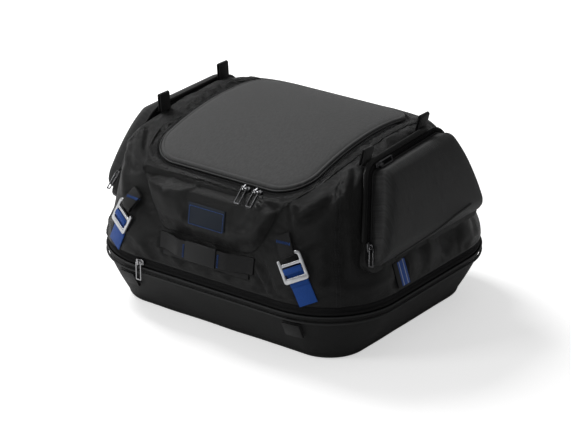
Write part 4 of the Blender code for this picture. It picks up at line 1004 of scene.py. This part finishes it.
def build_body():
    mesh = as_mesh(skin(body_rings()))
    places = corner_places(mesh)
    x, y, z = np.abs(places[:, 0]), places[:, 1], places[:, 2]
    top_z = np.array([crown(a, b) for a, b in places[:, :2]])
    edge = (z - BODY_Z) / 0.012
    held = np.clip(1 - edge, 0, 1)
    beside_lid = np.maximum(LID_FRONT - 0.018 - y, y - LID_BACK - 0.02)
    lid_near = np.maximum(x - (LID_HALF_WIDTH + 0.018), beside_lid)
    on_top = np.abs(z - top_z) < 0.012
    held = np.maximum(held, np.where(on_top, np.clip(1 - lid_near / 0.006, 0, 1), 0))
    pocket = (x > side_x(z) - 0.006) & (z > 0.145) & (z < 0.275) & (y > -0.145) & (y < 0.145)
    held = np.maximum(held, np.where(pocket, 1.0, 0))
    bib = (y < -0.19) & (z > 0.155) & (x < 0.085 + (z - 0.155) * 0.6)
    held = np.maximum(held, np.where(bib, 1.0, 0))
    ledge = np.abs(z - top_z + LEDGE_DROP) < 0.002
    held = np.maximum(held, np.where(ledge & (x < LID_HALF_WIDTH + 0.02), 1.0, 0))
    settle(mesh, held, 0.035, 1.2, bend=0.8, cap=0.005)
    mesh = with_modifiers(as_bmesh(mesh), [SMOOTHER])
    creases = []
    for seam in (SEAM_RIGHT, mirrored(SEAM_RIGHT)):
        creases.append((seam, 0.0065, 0.0016, False))
        creases.append((seam, 0.0014, -0.0022, False))
    for dart in (DART, mirrored(DART)):
        creases.append((dart, 0.0050, 0.0012, False))
        creases.append((dart, 0.0012, -0.0018, False))
    for fold, width, height in FOLDS:
        creases.append((smooth_path(fold, 12), width, height, True))
    press(mesh, creases)
    ripple(mesh, 0.0010, 0.045, 7)
    clear_trim(mesh)
    tree = mesh_tree(mesh)
    outside = as_bmesh(mesh)
    mesh = with_modifiers(as_bmesh(mesh), [shell(0.0016)])
    add_piece("look_body", mesh, "body", "bag", ["body_shell"])
    for tag, seam in (("right", SEAM_RIGHT), ("left", mirrored(SEAM_RIGHT))):
        out = math.copysign(0.0045, seam[0][0])
        for row, shift in (("", (0.0, -0.0036, 0.0)), ("_outer", (out, 0.0, 0.0))):
            built = stitches(smooth_path(shifted(seam, shift), 60), tree)
            add_piece(f"seam_stitches{row}_{tag}", built, "thread", "bag")
    bare = BVHTree.FromBMesh(outside)
    outside.from_mesh(nodes["front_bib"].data)
    padded = BVHTree.FromBMesh(outside)
    outside.free()
    return bare, padded


# Collar: the front drop and the bands beside the lid, one piece

COLLAR = (
    ((0.160, 0.108, 0.278), (0.146, 0.108)),
    ((0.162, 0.050, 0.284), (0.146, 0.050)),
    ((0.163, 0.000, 0.284), (0.146, 0.000)),
    ((0.162, -0.050, 0.278), (0.146, -0.050)),
    ((0.160, -0.090, 0.271), (0.146, -0.085)),
    ((0.156, -0.120, 0.262), (0.146, -0.110)),
    ((0.150, -0.145, 0.254), (0.1445, -0.130)),
    ((0.141, -0.170, 0.246), (0.138, -0.148)),
    ((0.131, -0.190, 0.238), (0.129, -0.163)),
    ((0.123, -0.1965, 0.224), (0.119, -0.173)),
    ((0.1135, -0.199, 0.2085), (0.108, -0.181)),
    ((0.1026, -0.2027, 0.187), (0.098, -0.185)),
    ((0.095, -0.2047, 0.173), (0.088, -0.1868)),
    ((0.086, -0.2067, 0.160), (0.076, -0.187)),
    ((0.074, -0.208, 0.1528), (0.064, -0.187)),
    ((0.060, -0.208, 0.1512), (0.052, -0.187)),
    ((0.030, -0.208, 0.1505), (0.026, -0.187)),
    ((0.000, -0.208, 0.1503), (0.000, -0.187)),
)

COLLAR_FOLDS = (
    (((0.0646, -0.2041, 0.1773), (0.0961, -0.1986, 0.2142), (0.1119, -0.1961, 0.2295),
      (0.1290, -0.1840, 0.2404)), 0.0080, 0.0014),
    (((0.0560, -0.2050, 0.1850), (0.0840, -0.1990, 0.2190), (0.1000, -0.1960, 0.2330)), 0.0060, -0.0022),
    (((-0.1290, -0.1840, 0.2400), (-0.1119, -0.1961, 0.2250), (-0.0930, -0.2000, 0.2010),
      (-0.0850, -0.2050, 0.1750)), 0.0065, 0.0024),
    (((-0.0700, -0.2070, 0.1600), (-0.0300, -0.2080, 0.1570), (0.0100, -0.2080, 0.1575)), 0.0050, 0.0010),
)
COLLAR_RAMP = 0.020
PATCH_X = 0.004
PATCH_Z = 0.191
PATCH_HALF_WIDTH = 0.033
PATCH_HALF_HEIGHT = 0.016
PATCH_MARGIN = 0.010


def smooth_path(points, count):
    """Points evenly spaced along a smooth curve through the given ones."""
    points = [Vector(point) for point in points]
    ends = [points[0] * 2 - points[1], *points, points[-1] * 2 - points[-2]]
    dense = []
    for index in range(1, len(ends) - 2):
        a, b, c, d = ends[index - 1:index + 3]
        for step in range(12):
            t = step / 12
            dense.append((b * 2 + (c - a) * t + (a * 2 - b * 5 + c * 4 - d) * t ** 2
                          + (b * 3 - a - c * 3 + d) * t ** 3) / 2)
    dense.append(points[-1])
    spans = np.array([0.0] + [(b - a).length for a, b in zip(dense, dense[1:])]).cumsum()
    wanted = np.linspace(0, spans[-1], count)
    path = []
    for want in wanted:
        index = min(int(np.searchsorted(spans, want, "right")) - 1, len(dense) - 2)
        share = (want - spans[index]) / max(spans[index + 1] - spans[index], 1e-9)
        path.append(dense[index].lerp(dense[index + 1], share))
    return path


def build_collar(bare, padded):
    right = list(COLLAR)
    left = [((-x, y, z), (-a, b)) for (x, y, z), (a, b) in reversed(COLLAR[:-1])]
    pairs = right + left
    both = []
    for outer, (x, y) in pairs:
        if y < -0.15:
            y -= 0.0035 * min(max(x / 0.08, -1.0), 1.0) + 0.0015
        both.append((*outer, x, y, crown(x, y) + 0.0006))
    outer_points = smooth_path([row[:3] for row in both], 221)
    inner_points = smooth_path([row[3:] for row in both], 221)
    rows = 26
    rings = []
    for row in range(rows + 1):
        share = row / rows
        ring = []
        for outer, inner in zip(outer_points, inner_points):
            chord = outer.lerp(inner, share)
            front = min(1.0, max(0.0, (-0.12 - chord.y) / 0.06))
            aside = 0.25 * math.copysign(1, outer.x) * min(1, abs(outer.x) / 0.1)
            push = Vector((aside, -0.75 * front, 0.75)).normalized()
            start = chord + push * 0.06
            low, high = [tree.ray_cast(start, -push, 0.12)[0] for tree in (bare, padded)]
            low = low or bare.find_nearest(chord)[0]
            high = high or low
            rise = min((chord - outer).length / COLLAR_RAMP, 1.0)
            rise = rise * rise * (3 - 2 * rise)
            ring.append(low.lerp(high, rise) + push * 0.0012)
        rings.append(ring)
    built = skin(rings, closed=False)
    for _ in range(3):
        inside = [corner for corner in built.verts if not corner.is_boundary]
        bmesh.ops.smooth_vert(
            built, verts=inside, factor=0.5, use_axis_x=True, use_axis_y=True, use_axis_z=True
        )
    mesh = as_mesh(built)
    places = corner_places(mesh)
    edges = np.array([tuple(point) for point in outer_points + list(reversed(inner_points))])
    away = distance_to(places, list(edges) + [edges[0]])
    held = np.clip(1 - away / 0.006, 0, 1)
    settle(mesh, held, 0.03, 1.5, bend=0.8, cap=0.004)
    mesh = with_modifiers(as_bmesh(mesh), [SMOOTHER])
    creases = [(outer_points, 0.0022, 0.0008, False)]
    for fold, width, height in COLLAR_FOLDS:
        creases.append((smooth_path(fold, 16), width, height, True))
    press(mesh, creases)
    seat_patch(mesh, padded)
    clear_trim(mesh)
    tree = mesh_tree(mesh)
    mesh = with_modifiers(as_bmesh(mesh), [shell(0.0014, 0)])
    piece = add_piece("look_collar", mesh, "collar", "bag", ["front_bib"])
    sides = zip(outer_points, inner_points)
    near = [outer + (inner - outer).normalized() * 0.0045 for outer, inner in sides]
    add_piece("collar_stitches", stitches(near, tree), "thread", "bag")
    frame_line = []
    for x, z in ((-1, -1), (1, -1), (1, 1), (-1, 1), (-1, -1)):
        across = PATCH_X + x * (PATCH_HALF_WIDTH - 0.0025)
        frame_line.append(Vector((across, -0.24, PATCH_Z + z * (PATCH_HALF_HEIGHT - 0.0025))))
    patch_tree = tree_of("blank_patch")
    rows = bmesh.new()
    for start, end in zip(frame_line, frame_line[1:]):
        side = []
        for step in range(9):
            spot = patch_tree.ray_cast(start.lerp(end, step / 8), Vector((0, 1, 0)), 0.1)[0]
            if spot is not None:
                side.append(spot)
        if len(side) > 2:
            rows.from_mesh(as_mesh(stitches(side, patch_tree, 0.0030, 0.0021, 0.00035)))
    add_piece("patch_stitches", rows, "blue thread", "bag")


def seat_patch(mesh, tree):
    """Lay the collar flat against the solids behind the patch, so that the patch stands on it."""
    places = corner_places(mesh)
    for index, place in enumerate(places):
        away = max(abs(place[0] - PATCH_X) - PATCH_HALF_WIDTH, abs(place[2] - PATCH_Z) - PATCH_HALF_HEIGHT)
        if away > PATCH_MARGIN or place[1] > -0.15:
            continue
        spot = tree.ray_cast(Vector((place[0], -0.26, place[2])), Vector((0, 1, 0)), 0.12)[0]
        if spot is None:
            continue
        share = min(max(away / PATCH_MARGIN, 0.0), 1.0)
        share = share * share * (3 - 2 * share)
        target = spot + Vector((0, 0.0006, 0))
        places[index] = tuple(target.lerp(Vector(place), share))
    move_corners(mesh, places)


# Lid


def open_front(ring, back):
    """The part of a ring round the lid that lies before back, as one open path."""
    keep = [point for point in ring if point.y < back]
    start = next(index for index, point in enumerate(keep) if point.x < 0)
    return list(reversed(keep[:start])) + list(reversed(keep[start:]))


def crown_ring(ring, share, lift):
    """A ring drawn in towards the lid's middle, at a height above the crown."""
    middle_y = (LID_FRONT + LID_BACK) / 2
    drawn = [(point.x * share, mix(middle_y, point.y, share)) for point in ring]
    return [Vector((x, y, crown(x, y) + lift)) for x, y in drawn]


def build_lid():
    foot = -LEDGE_DROP + LEDGE_GAP
    profile = [(0.020, 0.0), (0.0, 0.0), (0.0, 0.0020), (0.0, 0.0040), (0.0008, 0.0056), (0.0024, 0.0064),
               (0.0042, 0.0062), (0.0050, 0.0057), (0.0058, 0.0060), (0.0075, 0.0066), (0.012, 0.0070),
               (0.020, 0.0073), (0.030, 0.0075), (0.040, 0.0077), (0.050, 0.0079)]
    rings = []
    for inset, height in profile:
        rings.append(top_ring(*lid_outline(-inset), -foot - height))
    middle_y = (LID_FRONT + LID_BACK) / 2
    edge = rings[-1]
    for step in range(1, 31):
        share = 1 - step / 30 * 0.995
        rings.append(crown_ring(edge, share, foot + 0.0079 + 0.0004 * step / 30))
    built = skin(rings, planar=lambda place: (place.x, place.y))
    cap = [corner for corner in built.verts if corner.is_boundary and corner.co.z > crown(0, middle_y)]
    bmesh.ops.contextual_create(built, geom=cap)
    piece = add_piece("look_lid", built, "lid", "lid", ["lid_panel"])
    lining = [crown_ring(rings[0], share, foot) for share in (1.0, 0.7, 0.4, 0.02)]
    built = skin(lining, planar=lambda place: (place.x, place.y))
    centre = Vector((0, middle_y))
    cap = [corner for corner in built.verts if corner.is_boundary and (corner.co.xy - centre).length < 0.03]
    bmesh.ops.contextual_create(built, geom=cap)
    bmesh.ops.reverse_faces(built, faces=built.faces)
    add_piece("lid_lining", built, "tape", "lid")
    path = open_front(top_ring(*lid_outline(0.0017), -foot - 0.0026), LID_BACK - LID_CORNER)
    add_piece("look_lid_piping", piping(path, 0.0014), "piping", "lid", ["lid_piping"])


def build_lid_zip():
    # The tape's colour is partly painted shade, darkened so the recess between the lid and the collar reads
    # dark
    refine("lid_zip_tape", "tape", "bag", edge=0.0002)
    path = open_front(top_ring(*lid_outline(0.0062), 0.0016), LID_BACK - LID_CORNER - 0.012)
    coil = zip_coil(path, lambda place: Vector((0, 0, 1)))
    add_piece("lid_zip_coil", coil, "teeth", "bag")


# Side pockets


def rounded_outline(corners, grow, steps=8, side_steps=20):
    """An anticlockwise outline with rounded corners whose sides have moved out by grow."""
    count = len(corners)
    moved = []
    for index in range(count):
        here = Vector(corners[index][:2])
        before = (here - Vector(corners[index - 1][:2])).normalized()
        after = (Vector(corners[(index + 1) % count][:2]) - here).normalized()
        first = Vector((before.y, -before.x))
        outward = (first + Vector((after.y, -after.x))).normalized()
        moved.append((here + outward * grow / outward.dot(first), max(corners[index][2] + grow, 0.003)))
    points = []
    bends = []
    for index, (here, radius) in enumerate(moved):
        before = (moved[index - 1][0] - here)
        after = (moved[(index + 1) % count][0] - here)
        half = before.angle(after) / 2
        cut = min(radius / math.tan(half), 0.45 * before.length, 0.45 * after.length)
        radius = cut * math.tan(half)
        middle = here + (before.normalized() + after.normalized()).normalized() * radius / math.sin(half)
        first = here + before.normalized() * cut - middle
        turn = first.angle_signed(here + after.normalized() * cut - middle)
        bend = []
        for step in range(steps + 1):
            spun = first.copy()
            spun.rotate(Matrix.Rotation(-turn * step / steps, 2))
            bend.append(middle + spun)
        bends.append(bend)
    for index, bend in enumerate(bends):
        points.extend(bend)
        target = bends[(index + 1) % count][0]
        points.extend(bend[-1].lerp(target, step / side_steps) for step in range(1, side_steps))
    return points


def pocket_place(side):
    lean = math.atan(SIDE_LEAN)
    placed = Matrix((
        (0, 1, 0),
        (-math.sin(lean), 0, math.cos(lean)),
        (math.cos(lean), 0, math.sin(lean)),
    )).transposed().to_4x4()
    placed.translation = Vector((side_x(POCKET_FOOT_Z), 0, POCKET_FOOT_Z))
    return Matrix.Diagonal((side, 1, 1, 1)) @ placed


def pocket_depth(up):
    crest, belly = 0.024, 0.080
    if up < crest:
        return mix(0.018, 0.033, math.sin(max(up, 0.0) / crest * math.pi / 2))
    edge, depth = (crest, 0.033) if up <= belly else (POCKET_HEIGHT, 0.029)
    away = (up - belly) / (edge - belly)
    return mix(0.0385, depth, away * away)


def cover_height(y, inset):
    """How high the cover's outside stands at a distance in from its outline."""
    marks = (0.0, 0.0010, 0.0025, 0.005, 0.009, 0.016, 0.024)
    shares = (0.66, 0.745, 0.81, 0.89, 0.96, 0.99, 1.0)
    share = float(np.interp(inset, marks, shares))
    return mix(POCKET_SEAT, pocket_depth(y), share)


# The welt along the cover's crest, on the right side
COVER_RIDGE = ((0.2462, -0.093, 0.1520), (0.2485, -0.0791, 0.1555), (0.2522, -0.0391, 0.1609),
               (0.2547, 0.0085, 0.1669), (0.2556, 0.0464, 0.1730), (0.2560, 0.0859, 0.1756))


def from_widest_gap(points):
    """An open run of points that starts after the widest gap in a closed one."""
    gaps = [(Vector(point) - Vector(points[index - 1])).length for index, point in enumerate(points)]
    start = gaps.index(max(gaps))
    return points[start:] + points[:start]


def build_pocket(tag, side):
    placed = pocket_place(side)
    body = f"pocket_{tag}"
    rings = []
    for share in (0.0, 0.2, 0.4, 0.55, 0.62):
        outline = rounded_outline(POCKET_CORNERS, 0.0)
        rings.append([(x, y, mix(POCKET_SEAT, pocket_depth(y), share)) for x, y in outline])
    for inset in COVER_INSETS:
        rings.append([(x, y, cover_height(y, inset)) for x, y in rounded_outline(POCKET_CORNERS, -inset)])
    last = rounded_outline(POCKET_CORNERS, -COVER_INSETS[-1])
    for step in range(1, 9):
        share = 1 - step / 8 * 0.98
        moved = [(x * share, mix(COVER_MIDDLE, y, share)) for x, y in last]
        rings.append([(x, y, pocket_depth(y)) for x, y in moved])
    built = skin(rings, planar=lambda place: (place.x, place.y))
    tip = [corner for corner in built.verts if corner.is_boundary and corner.co.z > POCKET_SEAT + 0.01]
    bmesh.ops.contextual_create(built, geom=tip)
    built.transform(placed)
    if side < 0:
        bmesh.ops.reverse_faces(built, faces=built.faces)
    mesh = with_modifiers(built, [SMOOTHER])
    ridge = [(side * x, y, z) for x, y, z in COVER_RIDGE]
    press(mesh, [(ridge, 0.009, 0.0014, True)])
    welt = piping(laid(smooth_path(ridge, 60), mesh_tree(mesh), 0.0004), 0.0019)
    box_map(welt)
    add_piece(f"pocket_welt_{tag}", welt, "cover", body)
    mesh = with_modifiers(as_bmesh(mesh), [shell(0.0024)])
    add_piece(f"look_pocket_cover_{tag}", mesh, "cover", body, [f"pocket_cover_{tag}"])
    outline = rounded_outline(POCKET_CORNERS, 0.0009)
    line = [(x, y, POCKET_SEAT + 0.0020) for x, y in outline if y > PIPING_FOOT]
    line = [placed @ Vector(point) for point in from_widest_gap(line)]
    add_piece(f"pocket_cover_piping_{tag}", piping(line, 0.0011), "piping", body)
    refine(f"pocket_frame_{tag}", "body", "bag", edge=0.0006)
    refine(f"pocket_zip_tape_{tag}", "tape", "bag", edge=0.0002)
    for kind, grow, radius, lift in (("flange", 0.0145, 0.0040, 0.0028), ("roll", 0.0120, 0.0016, 0.0044)):
        roll = []
        for x, y in rounded_outline(POCKET_CORNERS, grow):
            front = x < POCKET_CORNERS[0][0] + 0.09
            above = y > POCKET_CORNERS[3][1] and x < POCKET_CORNERS[2][0] - 0.022
            if (y > 0.034) if front else above:
                roll.append((x, y, lift))
        built = piping(smooth_path(from_widest_gap(roll), 70), radius)
        bmesh.ops.scale(built, vec=(1, 1, 0.62), space=Matrix.Translation((0, 0, -lift)), verts=built.verts)
        built.transform(placed)
        bmesh.ops.recalc_face_normals(built, faces=built.faces)
        box_map(built)
        add_piece(f"pocket_{kind}_{tag}", built, "body", "bag")
    ring = rounded_outline(POCKET_CORNERS, 0.0050)
    open_ring = [placed @ Vector((x, y, POCKET_SEAT + 0.0012)) for x, y in ring]
    low = min(range(len(ring)), key=lambda index: ring[index].y + abs(ring[index].x + 0.05) * 0.001)
    turned = open_ring[low:] + open_ring[:low]
    foot_x = abs(placed.translation.x) - 0.0003
    open_part = [index for index, point in enumerate(turned)
                 if abs(point.x) < foot_x or point.z > POCKET_FOOT_Z + 0.002]
    path = turned[open_part[0]:open_part[-1] + 1]
    outward = (placed.to_3x3() @ Vector((0, 0, 1))).normalized()
    add_piece(f"pocket_zip_coil_{tag}", zip_coil(path, lambda place: outward), "teeth", "bag")


# Webbing, handle, hooks and sliders


def build_trim():
    straps = (("shoulder_loop", "black"), ("base_tab", "black"), ("black_loop", "black"),
              ("blue_strap", "blue"))
    for tag in ("left", "right"):
        for end in ("front", "back"):
            for stem, finish in straps:
                refine(f"{stem}_{end}_{tag}", finish, "bag", mapper=strap_map)
            refine(f"hook_{end}_{tag}", "satin", "bag", edge=0.0005)
        refine(f"side_tab_{tag}", "striped", "bag", mapper=strap_map)
        for name in ("front", "top"):
            for kind in ("slider", "puller"):
                node = f"pocket_{name}_{kind}_{tag}"
                refine(node, "gunmetal", f"pocket_{tag}_{name}_{kind}", edge=0.0003)
    for name in ("lid_left", "lid_right"):
        for kind in ("slider", "puller"):
            refine(f"{name}_{kind}", "gunmetal", f"{name}_{kind}", edge=0.0003)
    for kind in ("slider", "puller"):
        refine(f"base_{kind}", "bright", f"base_{kind}", edge=0.0003)
    refine("handle_strap", "black", "bag", mapper=strap_map)
    refine("handle_base_strip", "black", "bag", mapper=strap_map)
    refine("handle_grip", "grip", "bag", edge=0.0006)
    refine("blank_patch", "patch", "bag")
    refine("base_board", "board", "bag", edge=0.0008)
    build_bartacks()


def bartack(tree, low, high, push, columns=9, gauge=0.00045):
    """A dense zigzag of thread between two points, on the surface that push points into."""
    low, high, push = Vector(low), Vector(high), Vector(push).normalized()
    across = (high - low).cross(push).normalized() * 0.0016
    line = []
    for step in range(columns * 2 + 1):
        spot = low.lerp(high, step / (columns * 2)) + across * (1 if step % 2 else -1)
        found = tree.ray_cast(spot - push * 0.03, push, 0.08)[0]
        if found is not None:
            line.append(found - push * gauge * 0.4)
    return piping(line, gauge, sides=1)


def build_bartacks():
    tree = tree_of("handle_strap", "handle_grip")
    for name, x in (("left", -0.0312), ("right", 0.0312)):
        tack = bartack(tree, (x, -0.24, HANDLE_Z - 0.0095), (x, -0.24, HANDLE_Z + 0.0095), (0, 1, 0))
        add_piece(f"handle_tack_{name}", tack, "blue thread", "bag")
    for end, side in (("front", 1), ("back", -1)):
        for tag in ("left", "right"):
            node = f"black_loop_{end}_{tag}"
            tree = tree_of(node)
            low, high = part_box(node)
            height = mix(low[2], high[2], 0.62)
            spots = []
            for step in range(41):
                x = mix(low[0], high[0], step / 40)
                found = tree.ray_cast(Vector((x, -0.3 * side, height)), Vector((0, side, 0)), 0.4)[0]
                if found is not None:
                    spots.append(found)
            if len(spots) > 4:
                inner = spots[1:-1]
                tack = bartack(tree, inner[0], inner[-1], (0, side, 0), 10)
                add_piece(f"loop_tack_{end}_{tag}", tack, "blue thread", "bag")


add_camera()
add_stage()
build_tub()
build_base_zip()
build_collar(*build_body())
build_lid()
build_lid_zip()
for tag, side in (("right", 1), ("left", -1)):
    build_pocket(tag, side)
build_trim()
